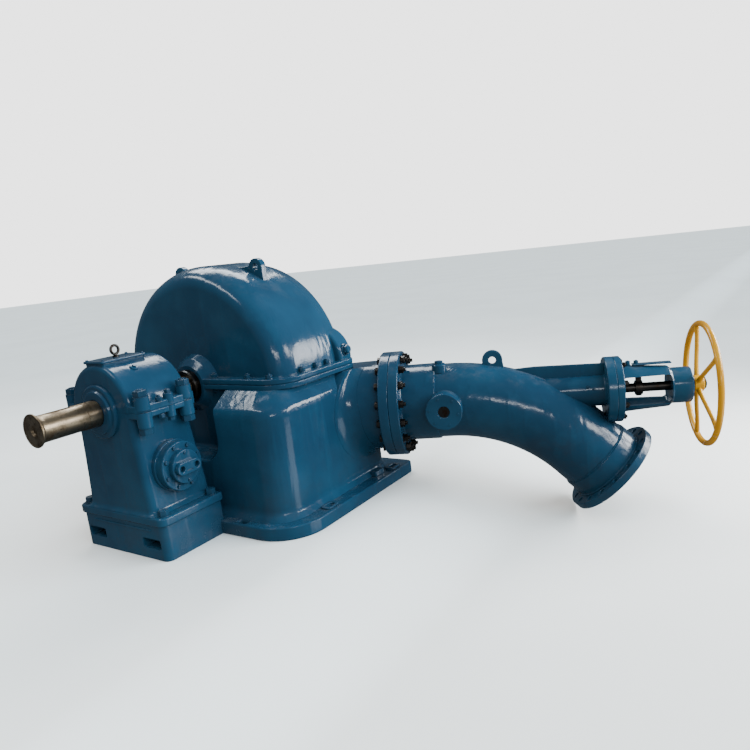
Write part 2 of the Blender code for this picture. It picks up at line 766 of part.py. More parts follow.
def make_nozzle_spool():
    """Straight spool with the flange that bolts to the casing neck."""
    spool = turned("nozzle_spool", [
        (SPOOL_R, SPOOL_END), (SPOOL_R, 0.088), (PIPE_FLANGE_R, 0.0875), (PIPE_FLANGE_R, SPOOL_START),
        (PIPE_BORE, SPOOL_START), (PIPE_BORE, SPOOL_END),
    ], jet_axis, 36)
    nuts = []
    for i in range(16):
        a = 2 * math.pi * (i + 0.5) / 16
        place = (0.2085 * math.cos(a), 0.2085 * math.sin(a), 0.0)
        nuts.append(hexagon("flange_nut", 0.036, 0.080, 0.108, jet_axis, place, (0.0, 0.0, a)))
    join_to(spool, *nuts)
    port_core = rod("port_core", 0.0770, 0.0, 0.30, jet_axis, 32, (0.0, 0.0, 0.277), (math.radians(90.0), 0.0, 0.0))
    cut_from(spool, port_core)
    return finish(spool, blue)


def beyond_bend(angle, low, high):
    """Cutting block square to the pipe at an angle around the bend, between two distances from there."""
    outline = [(-0.6, -0.6), (0.6, -0.6), (0.6, 0.6), (-0.6, 0.6)]
    return slab("bend_cut", outline, low, high, (), jet_axis, bend_point(angle), (0.0, math.radians(angle), 0.0))


def make_elbow(name, start, end):
    """Stretch of the hollow bend between two angles, open where the needle rod and the port pass."""
    elbow = elbow_solid(name, PIPE_R, SPOOL_END + GAP, TAIL - GAP)
    cutters = [elbow_solid("elbow_bore", PIPE_BORE, SPOOL_END - 0.05, TAIL + 0.05)]
    if start > 0.0:
        cutters.append(beyond_bend(start, -2.0, GAP / 2))
    if start < ROD_WAY_END:
        cutters.append(rod("rod_way", 0.045, 0.45, 1.10, jet_axis, 24))
    if start == 0.0:
        cutters.append(rod("port_core", 0.0770, 0.0, 0.30, jet_axis, 32, (0.0, 0.0, 0.277),
                           (math.radians(90.0), 0.0, 0.0)))
    if end is not None:
        cutters.append(beyond_bend(end, -GAP / 2, 2.0))
    cut_from(elbow, *cutters)
    return finish(elbow, blue)


def make_inlet_flange():
    """Flange of the penstock end with its ring of sixteen bolt holes."""
    end = pipe_path(SPOOL_END, TAIL)[-1]
    turn = (0.0, math.radians(BEND_ANGLE), 0.0)
    outline = circle_points(INLET_FLANGE_R, 40)
    holes = [circle_points(PIPE_BORE, 32)]
    for i in range(16):
        a = 2 * math.pi * i / 16
        holes.append(circle_points(0.0125, 8, (0.194 * math.cos(a), 0.194 * math.sin(a))))
    return finish(slab("inlet_flange", outline, GAP, INLET_FLANGE_T, holes, jet_axis, end, turn), blue)


def make_side_port():
    """Blanked port on the side of the nozzle: thick stub and cover with a plugged hole."""
    place = (0.0, 0.0, 0.277)
    side = (math.radians(90.0), 0.0, 0.0)
    stub = turned("side_port", [
        (0.0765, 0.218), (0.0765, 0.1380), (0.045, 0.1380), (0.045, 0.218),
    ], jet_axis, 32, place, side)
    cut_from(stub, elbow_solid("port_bore", PIPE_BORE + 0.0005, SPOOL_END - 0.20, 0.02))
    finish(stub, blue)
    cover = turned("side_port_cover", [
        (0.0, 0.226), (0.027, 0.226), (0.027, 0.232), (0.075, 0.232), (0.0775, 0.2295), (0.0775, 0.2183),
        (0.0, 0.2183),
    ], jet_axis, 32, place, side)
    finish(cover, blue)


def make_vent_boss():
    """Plugged boss on top of the nozzle for the air vent or gauge."""
    boss = rod("vent_boss", 0.029, 0.10, 0.181, jet_axis, 20, (0.0, -0.060, 0.256), (0.0, math.radians(-90.0), 0.0))
    skin = rod("spool_skin", SPOOL_R + GAP, 0.0, SPOOL_END, jet_axis, 80)
    cut_from(boss, skin, elbow_solid("elbow_skin", PIPE_R + 0.0008, SPOOL_END - 0.02, 0.0))
    return finish(boss, blue)


def make_elbow_lug():
    """Lifting eye welded on top of the bend."""
    top = circle_points(0.044, 14, (0.0, 0.0), -5.0, 202.0)
    outline = [(0.050, -0.035)] + top + [(-0.050, -0.035)]
    lug = slab("elbow_lug", outline, -0.011, 0.011, [circle_points(0.016, 14)])
    lug.parent = jet_axis
    lug.location = (-0.165, 0.0, 0.485)
    lug.rotation_euler = (0.0, math.radians(-90.0), math.radians(90.0))
    cut_from(lug, elbow_solid("lug_skin", PIPE_R + GAP, SPOOL_END - 0.02, 0.02))
    return finish(lug, blue)


def make_needle_tube():
    """Guide tube of the needle rod, from the back of the bend to its flange."""
    tube = turned("needle_tube", [
        (TUBE_R, 0.983), (TUBE_R, 0.40), (0.052, 0.40), (0.052, 0.983),
    ], jet_axis, 28)
    flange = turned("tube_flange", [
        (TUBE_FLANGE_R, 0.984), (TUBE_FLANGE_R, TUBE_END), (0.050, TUBE_END), (0.050, 0.984),
    ], jet_axis, 36)
    join_to(tube, flange)
    cut_from(tube, elbow_solid("tube_skin", PIPE_R + GAP, SPOOL_END - 0.05, TAIL + 0.10))
    return finish(tube, blue)


def make_tube_rib(name, outline):
    """Stiffening rib in the upright plane of the nozzle line, cut to the pipe and the tube."""
    rib = slab(name, outline, -0.007, 0.007)
    rib.parent = jet_axis
    rib.rotation_euler = (0.0, math.radians(-90.0), math.radians(90.0))
    cut_from(rib, rod("tube_skin", TUBE_R + GAP, 0.30, 1.2, jet_axis, 56),
             elbow_solid("rib_skin", PIPE_R + GAP, SPOOL_END - 0.05, TAIL + 0.10))
    return finish(rib, blue)


def make_yoke():
    """Yoke of the handwheel: flange, two arched arms and the hub that holds the screw nut."""
    yoke = turned("yoke", [
        (0.074, YOKE_END), (0.074, YOKE_HUB), (0.086, YOKE_HUB - 0.012), (0.100, YOKE_ARMS),
        (TUBE_FLANGE_R, YOKE_ARMS - 0.0005), (TUBE_FLANGE_R, YOKE_START), (0.022, YOKE_START),
        (0.022, YOKE_ARMS - 0.004), (0.084, YOKE_ARMS), (0.072, YOKE_HUB - 0.002), (0.022, YOKE_HUB),
        (0.022, YOKE_END),
    ], jet_axis, 32)
    window = box("yoke_window", -0.058, 0.058, -0.20, 0.20, YOKE_ARMS, YOKE_HUB - 0.004)
    window.parent = jet_axis
    cut_from(yoke, window, elbow_solid("yoke_skin", PIPE_R + 0.0006, SPOOL_END - 0.05, TAIL + 0.10))
    return finish(yoke, blue)


def make_jet_nozzle():
    """Converging mouthpiece that throws the jet, seated in the neck of the casing."""
    cone = turned("jet_nozzle", [
        (0.1675, 0.043), (0.1675, -0.060), (0.078, -0.400), (0.0525, -0.400), (0.0535, -0.385),
        (0.138, -0.050), (0.146, 0.043),
    ], jet_axis, 40)
    return finish(cone, steel)


# Needle gear that moves

def make_spear_rod():
    """Spindle, rod and needle in one: it slides along the nozzle line."""
    spear = turned("spear_rod", [
        (0.0, 1.352), (0.014, 1.352), (0.0155, 1.349), (0.0155, 1.222), (SPINDLE_R, 1.212), (SPINDLE_R, 0.950),
        (0.020, 0.940), (0.020, -0.180), (0.052, -0.255), (0.056, -0.280), (0.050, -0.310), (0.026, -0.370),
        (0.004, -0.412), (0.0, -0.413),
    ], jet_axis, 20)
    return finish(spear, dark)


def make_pointer():
    """Clamp on the spindle with the pointer that rides in the yoke window."""
    block = box("spindle_pointer", -0.052, 0.034, -0.011, 0.011, 1.075, 1.097, None, 0.0015)
    block.parent = jet_axis
    join_to(block, rod("pointer_ring", 0.030, 1.072, 1.100, jet_axis, 24))
    cut_from(block, rod("pointer_bore", SPINDLE_R + GAP, 1.0, 1.2, jet_axis, 20))
    return finish(block, dark)


def make_handwheel():
    """Five-spoked handwheel with a dished round rim and its hub."""
    rim_path = []
    for i in range(36):
        a = 2 * math.pi * i / 36
        rim_path.append((WHEEL_R * math.cos(a), WHEEL_R * math.sin(a), WHEEL_S))
    rim = swept("handwheel", rim_path, WHEEL_TUBE, None, 2, True)
    rim.parent = jet_axis
    hub = turned("wheel_hub", [
        (0.030, 1.338), (0.034, 1.334), (0.036, 1.300), (0.0163, 1.300), (0.0163, 1.338),
    ], jet_axis, 20)
    spokes = []
    for i in range(5):
        a = math.radians(18.0 + 72.0 * i)
        start = Vector((0.026 * math.cos(a), 0.026 * math.sin(a), 1.318))
        end = Vector((WHEEL_R * math.cos(a), WHEEL_R * math.sin(a), WHEEL_S))
        spoke = swept("spoke", [start, start.lerp(end, 0.5), end], 0.0095, None, 2)
        spoke.parent = jet_axis
        spokes.append(spoke)
    join_to(rim, hub, *spokes)
    cut_from(rim, rod("wheel_bore", 0.0163, 1.25, 1.40, jet_axis, 20))
    return finish(rim, ochre)


def make_wheel_collar():
    """Dark thrust collar between the yoke hub and the handwheel."""
    return finish(turned("wheel_collar", [
        (0.040, 1.2997), (0.044, 1.296), (0.044, YOKE_END + GAP), (0.0163, YOKE_END + GAP), (0.0163, 1.2997),
    ], jet_axis, 20), dark)


# Build

clear_scene()
turbine = make_collection("water_turbine")

blue = make_material("blue_enamel", BLUE, 0.30, 0.0)
steel = make_material("bare_steel", STEEL, 0.40, 1.0)
dark = make_material("dark_steel", DARK_STEEL, 0.45, 0.8)
bronze = make_material("bronze", BRONZE, 0.40, 1.0)
ochre = make_material("ochre_enamel", OCHRE, 0.35, 0.0)

# In the shaft frame Z runs along the shaft into the casing; in the nozzle frame Z runs out along
# the nozzle line and X runs down
wheel_frame = make_empty("wheel_frame", (0.0, WHEEL_Y, 0.0))
shaft_axis = make_empty("shaft_axis", (0.0, 0.0, SHAFT_Z), (math.radians(-90.0), 0.0, 0.0), wheel_frame)
jet_axis = make_empty("jet_axis", JET_ORIGIN, (0.0, math.radians(90.0), math.radians(JET_TURN)), wheel_frame)

make_base_plate()
make_casing()
make_casing_neck()
make_hood()
make_hood_lug("hood_lug_left", -1, -0.230)
make_hood_lug("hood_lug_right", 1, 0.247)
make_shaft()
make_runner()
make_shaft_seal()

make_pedestal_base()
make_pedestal_housing()
make_bearing_cap()
make_cap_cover()
make_cap_eyebolt()
make_bearing_seal("bearing_seal_front", [
    (0.106, BEARING_FRONT - GAP), (0.106, -0.820), (0.100, -0.824), (0.086, -0.824), (0.082, -0.832),
    (0.072, -0.834), (0.0515, -0.834), (0.0515, BEARING_FRONT - GAP),
])
make_bearing_seal("bearing_seal_rear", [
    (0.0515, BEARING_REAR + GAP), (0.0515, -0.505), (0.078, -0.505), (0.082, -0.512), (0.100, -0.520),
    (0.106, -0.524), (0.106, BEARING_REAR + GAP),
])
make_cooler()
make_pedestal_bolts()

make_nozzle_spool()
make_elbow("elbow", 0.0, 22.5)
make_elbow("elbow_lower", 22.5, BEND_ANGLE)
make_elbow("elbow_tail", BEND_ANGLE, None)
make_inlet_flange()
make_side_port()
make_vent_boss()
make_elbow_lug()
make_needle_tube()
make_tube_rib("tube_rib", [(0.40, 0.110), (0.40, 0.0), (TUBE_END - GAP, 0.0), (TUBE_END - GAP, 0.116),
                           (0.66, 0.122)])
make_yoke()
make_jet_nozzle()
make_spear_rod()
make_pointer()
make_handwheel()
make_wheel_collar()
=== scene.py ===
"""Looks of an inclined-jet water turbine in glossy machine enamel.

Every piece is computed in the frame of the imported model: metres, +Z up, +Y along the shaft into the
casing, +X towards the nozzle. Lengths along the shaft and the nozzle are read off four local frames,
given below, whose Z axis is the axis that the round pieces turn about.
"""

import bmesh
import bpy
import numpy as np
from mathutils import Matrix
from mathutils.geometry import tessellate_polygon


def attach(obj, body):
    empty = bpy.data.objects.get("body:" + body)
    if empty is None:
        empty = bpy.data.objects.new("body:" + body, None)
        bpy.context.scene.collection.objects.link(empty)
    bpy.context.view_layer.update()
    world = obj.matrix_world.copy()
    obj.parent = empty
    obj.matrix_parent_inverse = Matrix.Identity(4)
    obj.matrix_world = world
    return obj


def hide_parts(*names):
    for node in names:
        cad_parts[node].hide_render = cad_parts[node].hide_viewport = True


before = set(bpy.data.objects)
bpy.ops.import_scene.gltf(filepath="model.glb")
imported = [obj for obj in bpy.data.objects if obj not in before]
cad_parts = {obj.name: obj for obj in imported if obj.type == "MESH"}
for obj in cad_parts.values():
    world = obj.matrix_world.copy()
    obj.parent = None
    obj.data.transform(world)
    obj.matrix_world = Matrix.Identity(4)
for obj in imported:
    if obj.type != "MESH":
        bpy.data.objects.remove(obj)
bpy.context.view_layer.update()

# Places shared by several pieces
SHAFT_Z = 0.578
WHEEL_Y = 0.480
JET_TURN = np.radians(22.5)
BEND = np.radians(45.0)
BEND_R = 0.790
BEND_START = 0.283
PIPE_R = 0.1637
PIPE_BORE = 0.150
TAIL = 0.153
NECK_R = 0.200
FLARE_R = NECK_R + 0.0025


# Local frames

def local_frame(origin, x, z):
    """4x4 frame from its origin, X and Z directions; Y is the cross product of Z and X."""
    m = np.eye(4)
    m[:3, 0], m[:3, 1], m[:3, 2], m[:3, 3] = x, np.cross(z, x), z, origin
    return m


def placed(base, x, y, z):
    """World points of local coordinates, which are broadcast against each other."""
    points = np.stack(np.broadcast_arrays(x, y, z), axis=-1).astype(float)
    return points @ base[:3, :3].T + base[:3, 3]


DOWN = np.array((0.0, 0.0, -1.0))
ALONG = np.array((np.cos(JET_TURN), np.sin(JET_TURN), 0.0))
ASIDE = np.array((np.sin(JET_TURN), -np.cos(JET_TURN), 0.0))
INTO = np.sin(BEND) * DOWN + np.cos(BEND) * ALONG

PLAN = local_frame((0.0, WHEEL_Y, 0.0), (1, 0, 0), (0, 0, 1))
SHAFT = local_frame((0.0, WHEEL_Y, SHAFT_Z), (1, 0, 0), (0, 1, 0))
NICHE = local_frame((0.0, WHEEL_Y, 0.0), (1, 0, 0), (0, -1, 0))
COOLER = local_frame((0.0, WHEEL_Y - 0.669, 0.336), DOWN, (1, 0, 0))
JET = local_frame((0.633, WHEEL_Y + 0.208, 0.375), DOWN, ALONG)


def on_jet(s, down=0.0, aside=0.0):
    """World point at a station of the nozzle line, lowered and moved towards the front."""
    return JET[:3, 3] + s * ALONG + down * DOWN + aside * ASIDE


PIPE_END_DOWN = BEND_R * (1 - np.cos(BEND)) + np.sin(BEND) * TAIL
PIPE_END_S = BEND_START + BEND_R * np.sin(BEND) + np.cos(BEND) * TAIL
INLET = local_frame(on_jet(PIPE_END_S, PIPE_END_DOWN), np.cross(ASIDE, INTO), INTO)
PORT = local_frame(on_jet(0.277), DOWN, ASIDE)
UPRIGHT = local_frame(on_jet(0.0), ALONG, ASIDE)
SIDE_ON = local_frame(on_jet(0.0), DOWN, ASIDE)
DEFLECTOR = local_frame((0.400, WHEEL_Y + 0.078, 0.652), (0, 1, 0), (1, 0, 0))


# Outlines and profiles

def soften(points, radius, steps=6, closed=False):
    """Polyline whose corners are rounded.

    Each corner is replaced by the arc of its radius that touches both sides, cut short where a side
    is under twice the arc's reach. The arc is the spherical blend of the two spokes from its centre.
    """
    p = np.asarray(points, float)
    r = np.broadcast_to(np.asarray(radius, float), len(p)).astype(float).copy()
    u = np.roll(p, 1, 0) - p
    v = np.roll(p, -1, 0) - p
    lu = np.linalg.norm(u, axis=1)
    lv = np.linalg.norm(v, axis=1)
    if not closed:
        r[[0, -1]] = 0.0
        lu[0] = lv[-1] = 1.0
    u /= np.maximum(lu, 1e-12)[:, None]
    v /= np.maximum(lv, 1e-12)[:, None]
    cosine = np.clip((u * v).sum(1), -1.0, 1.0)
    half = np.arccos(cosine) / 2
    bent = (r > 0) & (half < np.radians(89.5)) & (half > 1e-3)
    tangent = np.tan(np.where(bent, half, 0.7))
    reach = np.where(bent, np.minimum(r / tangent, 0.495 * np.minimum(lu, lv)), 0.0)
    radius_used = reach * tangent
    bisector = u + v
    bisector /= np.maximum(np.linalg.norm(bisector, axis=1), 1e-12)[:, None]
    centre = p + bisector * (radius_used / np.where(bent, np.sin(half), 1.0))[:, None]
    a = p + u * reach[:, None] - centre
    b = p + v * reach[:, None] - centre
    turn = np.where(bent, np.pi - 2 * half, 1.0)[:, None]
    t = np.linspace(0.0, 1.0, steps + 1)[None, :]
    wa = np.sin((1 - t) * turn) / np.sin(turn)
    wb = np.sin(t * turn) / np.sin(turn)
    arcs = centre[:, None, :] + wa[..., None] * a[:, None, :] + wb[..., None] * b[:, None, :]
    arcs = np.where(bent[:, None, None], arcs, p[:, None, :])
    flat = arcs.reshape(-1, p.shape[1])
    step = np.linalg.norm(np.roll(flat, -1, 0) - flat, axis=1)
    keep = step > 1e-7
    if not closed:
        keep[-1] = True
    return flat[keep]


def circle(radius, count=48, centre=(0.0, 0.0)):
    """Outline of a circle, anticlockwise."""
    a = np.linspace(0.0, 2 * np.pi, count, endpoint=False)
    return np.stack((centre[0] + radius * np.cos(a), centre[1] + radius * np.sin(a)), -1)


def oblong(x0, x1, y0, y1, radii, steps=8):
    """Outline of a rectangle with a radius for each corner, from low x and y anticlockwise."""
    return soften([(x0, y0), (x1, y0), (x1, y1), (x0, y1)], radii, steps, True)


def slot_hole(centre, length, width, upright=False, count=8):
    """Outline of a slot: two half circles joined by straight sides."""
    a = np.linspace(-np.pi / 2, np.pi / 2, count)
    reach = (length - width) / 2
    x = np.concatenate((reach + width / 2 * np.cos(a), -reach - width / 2 * np.cos(a)))
    y = np.concatenate((width / 2 * np.sin(a), -width / 2 * np.sin(a)))
    x, y = (-y, x) if upright else (x, y)
    return np.stack((centre[0] + x, centre[1] + y), -1)


def ring_of(count, radius, start=0.0):
    """Places evenly spaced on a circle."""
    a = start + 2 * np.pi * np.arange(count) / count
    return np.stack((radius * np.cos(a), radius * np.sin(a)), -1)


# Shapes: each is its points and its faces

def grid_faces(rows, cols, wrap_rows, wrap_cols):
    """Quads between neighbours of a grid of points, closed on itself where asked."""
    i = np.arange(rows if wrap_rows else rows - 1)[:, None]
    j = np.arange(cols if wrap_cols else cols - 1)[None, :]
    i2, j2 = (i + 1) % rows, (j + 1) % cols
    quads = np.stack((i * cols + j, i * cols + j2, i2 * cols + j2, i2 * cols + j), -1)
    return quads.reshape(-1, 4).tolist()


def surface(points, wrap_rows=False):
    """Closed surface from rows of points: ends are capped unless the rows wrap round."""
    rows, cols = points.shape[:2]
    faces = grid_faces(rows, cols, wrap_rows, True)
    if not wrap_rows:
        faces.append(list(range(cols - 1, -1, -1)))
        faces.append(list(range((rows - 1) * cols, rows * cols)))
    return points.reshape(-1, 3), faces


def together(*shapes):
    """Several shapes as one."""
    points, faces, start = [], [], 0
    for p, f in shapes:
        points.append(p)
        faces.extend([[i + start for i in face] for face in f])
        start += len(p)
    return np.concatenate(points), faces


def turned(profile, base, steps=96, ring=False):
    """Surface of revolution: a profile point (r, z) goes to (r cos a, r sin a, z)."""
    a = np.linspace(0.0, 2 * np.pi, steps, endpoint=False)[None, :]
    r, z = profile[:, :1], profile[:, 1:]
    return surface(placed(base, r * np.cos(a), r * np.sin(a), z + 0 * a), ring)


def plate(outline, low, high, edge, base, holes=(), steps=3):
    """Flat plate with rounded edges.

    Every loop is moved into the material by edge * (1 - sin a) while it climbs by
    edge * (1 - cos a), for a from 0 to 90 degrees, and the same upside down at the top face. The
    faces are closed with triangles between the loops.
    """
    a = np.linspace(0.0, np.pi / 2, steps + 1)
    inset = np.concatenate((edge * (1 - np.sin(a)), edge * (1 - np.sin(a))[::-1]))
    height = np.concatenate((low + edge * (1 - np.cos(a)), high - edge * (1 - np.cos(a))[::-1]))
    points, faces, start = [], [], 0
    firsts = []
    for number, loop in enumerate((outline, *holes)):
        loop = np.asarray(loop, float)
        nxt = np.roll(loop, -1, 0)
        area = (loop[:, 0] * nxt[:, 1] - nxt[:, 0] * loop[:, 1]).sum()
        if (area > 0) == (number > 0):
            loop = loop[::-1]
        side = np.roll(loop, -1, 0) - loop
        normal = np.stack((-side[:, 1], side[:, 0]), -1)
        normal /= np.maximum(np.linalg.norm(normal, axis=1), 1e-12)[:, None]
        miter = normal + np.roll(normal, 1, 0)
        miter /= np.maximum((miter * normal).sum(1), 0.3)[:, None]
        moved = loop[None] + inset[:, None, None] * miter[None]
        grid = placed(base, moved[..., 0], moved[..., 1], height[:, None])
        rows, cols = grid.shape[:2]
        points.append(grid.reshape(-1, 3))
        faces.extend([[i + start for i in f] for f in grid_faces(rows, cols, False, True)])
        firsts.append((start, cols, rows, moved))
        start += rows * cols
    for row in (0, -1):
        loops = [[(x, y, 0.0) for x, y in moved[row]] for _, _, _, moved in firsts]
        index = np.concatenate([first + (rows - 1 if row else 0) * cols + np.arange(cols)
            for first, cols, rows, _ in firsts])
        for tri in tessellate_polygon(loops):
            faces.append([int(index[i]) for i in tri])
    return np.concatenate(points), faces


def stacked(sections, base):
    """Body through outlines with equal numbers of points, each at its own height."""
    grid = np.stack([placed(base, o[:, 0], o[:, 1], np.full(len(o), z)) for z, o in sections])
    return surface(grid)


def bar(path, radius, across, around=24, closed=False, flat=1.0):
    """Round bar: a circle carried along a path in one plane, square to it.

    across is the normal of that plane, and radius may change along the path. flat squashes the
    circle along across.
    """
    path = np.asarray(path, float)
    if closed:
        tangent = np.roll(path, -1, 0) - np.roll(path, 1, 0)
    else:
        tangent = np.gradient(path, axis=0)
    tangent /= np.linalg.norm(tangent, axis=1)[:, None]
    lift = np.cross(np.asarray(across, float), tangent)
    lift /= np.linalg.norm(lift, axis=1)[:, None]
    a = np.linspace(0.0, 2 * np.pi, around, endpoint=False)
    r = np.broadcast_to(np.asarray(radius, float), len(path))[:, None, None]
    ring = np.cos(a)[None, :, None] * lift[:, None, :]
    ring = ring + flat * np.sin(a)[None, :, None] * np.asarray(across, float)[None, None, :]
    return surface(path[:, None, :] + r * ring, closed)


def hex_head(base, place, across, low, high, edge=0.0012, turn=0.0):
    """Hexagon head or nut with softened corners."""
    a = turn + np.pi / 3 * np.arange(6)
    r = across / np.sqrt(3.0)
    corners = np.stack((place[0] + r * np.cos(a), place[1] + r * np.sin(a)), -1)
    outline = soften(corners, across * 0.04, 1, True)
    return plate(outline, low, high, edge, base, (), 2)


def bolt(base, place, across, low, high, stud=0.0, turn=0.0):
    """Washer, nut and the end of its stud, standing on a face of the frame."""
    washer = across * 0.62
    shift = base.copy()
    shift[:3, 3] = placed(base, place[0], place[1], 0.0)
    disc = lathe([(washer, low), (washer, low + 0.003)], 0.0, 6, shift, 20)
    shapes = [disc, hex_head(base, place, across, low + 0.0028, high, 0.0014, turn)]
    if stud:
        r = across * 0.29
        line = [(r, high - 0.002), (r, high + stud), (r * 0.6, high + stud)]
        shapes.append(lathe(line, 0.001, 2, shift, 16))
    return together(*shapes)


# Pieces

def as_object(name, shape):
    """Mesh object of a shape, its doubles merged and its faces turned outwards."""
    points, faces = shape
    mesh = bpy.data.meshes.new(name)
    mesh.from_pydata(points.tolist(), [], faces)
    work = bmesh.new()
    work.from_mesh(mesh)
    bmesh.ops.remove_doubles(work, verts=work.verts, dist=1e-6)
    bmesh.ops.dissolve_degenerate(work, edges=work.edges, dist=1e-7)
    bmesh.ops.recalc_face_normals(work, faces=work.faces)
    work.to_mesh(mesh)
    work.free()
    obj = bpy.data.objects.new(name, mesh)
    bpy.context.scene.collection.objects.link(obj)
    return obj


def combine(obj, other, operation):
    """Exact Boolean of an object with another, which it uses up."""
    modifier = obj.modifiers.new("Cut", "BOOLEAN")
    modifier.operation = operation
    modifier.solver = "EXACT"
    modifier.object = other
    bpy.context.view_layer.update()
    graph = bpy.context.evaluated_depsgraph_get()
    mesh = bpy.data.meshes.new_from_object(obj.evaluated_get(graph))
    obj.modifiers.clear()
    obj.data = mesh
    bpy.data.objects.remove(other, do_unlink=True)


def fuse(obj, *shapes):
    """Unite shapes with a piece that is one casting or weldment with them."""
    for shape in shapes:
        combine(obj, as_object("added", shape), "UNION")


def cut(obj, *shapes):
    """Take shapes out of a piece."""
    for shape in shapes:
        combine(obj, as_object("cutter", shape), "DIFFERENCE")


def dress(obj, material, body="frame", angle=34.0, instead_of=()):
    """Finish a piece: its material, soft shading that keeps flat faces flat, and its body."""
    obj.data.materials.clear()
    obj.data.materials.append(material)
    obj.data.shade_smooth()
    obj.data.set_sharp_from_angle(angle=np.radians(angle))
    weights = obj.modifiers.new("Flat faces stay flat", "WEIGHTED_NORMAL")
    weights.keep_sharp = True
    weights.weight = 60
    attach(obj, body)
    if instead_of:
        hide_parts(*instead_of)


def paint(obj, *nodes, coat=None):
    """Finish a piece of the frame in blue enamel, in place of its nodes."""
    dress(obj, coat or ENAMEL, instead_of=nodes)


def casting(node, shape):
    """Blue piece of the frame that is one shape."""
    paint(as_object(node + "_body", shape), node)


def rod(radius, start, end, base, steps=48):
    """Plain cylinder, mostly a cutter."""
    return turned(np.array([(radius, start), (radius, end)]), base, steps)


def lathe(line, radii, steps, base, around, ring=False):
    """Turned piece whose profile is softened first, and closed on itself where it is a ring."""
    return turned(soften(line, radii, steps, ring), base, around, ring)


def column(x, y):
    """Frame on a vertical axis, at a place given from the wheel's middle."""
    return local_frame((x, WHEEL_Y + y, 0.0), (1, 0, 0), (0, 0, 1))


def block(base, x0, x1, y0, y1, z0, z1):
    """Plain cutting block."""
    return plate(oblong(x0, x1, y0, y1, 0.0, 1), z0, z1, 0.0, base, (), 1)


# Materials

def linear(code):
    """Linear colour of an sRGB hex value."""
    c = np.array([int(code[i:i + 2], 16) / 255 for i in (1, 3, 5)])
    c = np.where(c <= 0.04045, c / 12.92, ((c + 0.055) / 1.055) ** 2.4)
    return (*[float(v) for v in c], 1.0)


def add(tree, kind, values=(), links=(), **settings):
    """Node of a kind with its settings, its input values and its links from other outputs."""
    made = tree.nodes.new(kind)
    for key, value in settings.items():
        setattr(made, key, value)
    for key, value in dict(values).items():
        made.inputs[key].default_value = value
    for key, source in dict(links).items():
        tree.links.new(source, made.inputs[key])
    return made


def new_finish(name, metallic, roughness, ior=None):
    """Empty finish: its tree, its shader and the coordinates that its patterns read."""
    mat = bpy.data.materials.new(name)
    mat.use_nodes = True
    tree = mat.node_tree
    shader = tree.nodes["Principled BSDF"]
    shader.inputs["Metallic"].default_value = metallic
    shader.inputs["Roughness"].default_value = roughness
    if ior:
        shader.inputs["IOR"].default_value = ior
    place = add(tree, "ShaderNodeTexCoord").outputs["Object"]
    return mat, tree, shader, place


def ramp(tree, source, low, high):
    """Smooth step of a value from 0 at one level to 1 at the other."""
    return add(tree, "ShaderNodeMapRange", {1: low, 2: high, 3: 0.0, 4: 1.0}, {0: source},
        interpolation_type="SMOOTHSTEP").outputs[0]


def maths(tree, operation, a, b):
    """Arithmetic on two values, each a number or an output."""
    values, links = {}, {}
    for key, item in ((0, a), (1, b)):
        (values if isinstance(item, (int, float)) else links)[key] = item
    return add(tree, "ShaderNodeMath", values, links, operation=operation).outputs[0]


def blend(tree, amount, a, b):
    """Colour mix, each colour a tuple or an output."""
    values, links = {}, {}
    for key, item in ((0, amount), (6, a), (7, b)):
        (values if isinstance(item, (int, float, tuple)) else links)[key] = item
    return add(tree, "ShaderNodeMix", values, links, data_type="RGBA").outputs[2]


def patches(tree, place, size_mm, detail=3.0, rough=0.55, distortion=0.0):
    """Soft noise whose patches are about the given size across."""
    return add(tree, "ShaderNodeTexNoise", {"Scale": 1000.0 / size_mm / 2, "Detail": detail,
        "Roughness": rough, "Distortion": distortion}, {"Vector": place}).outputs[0]


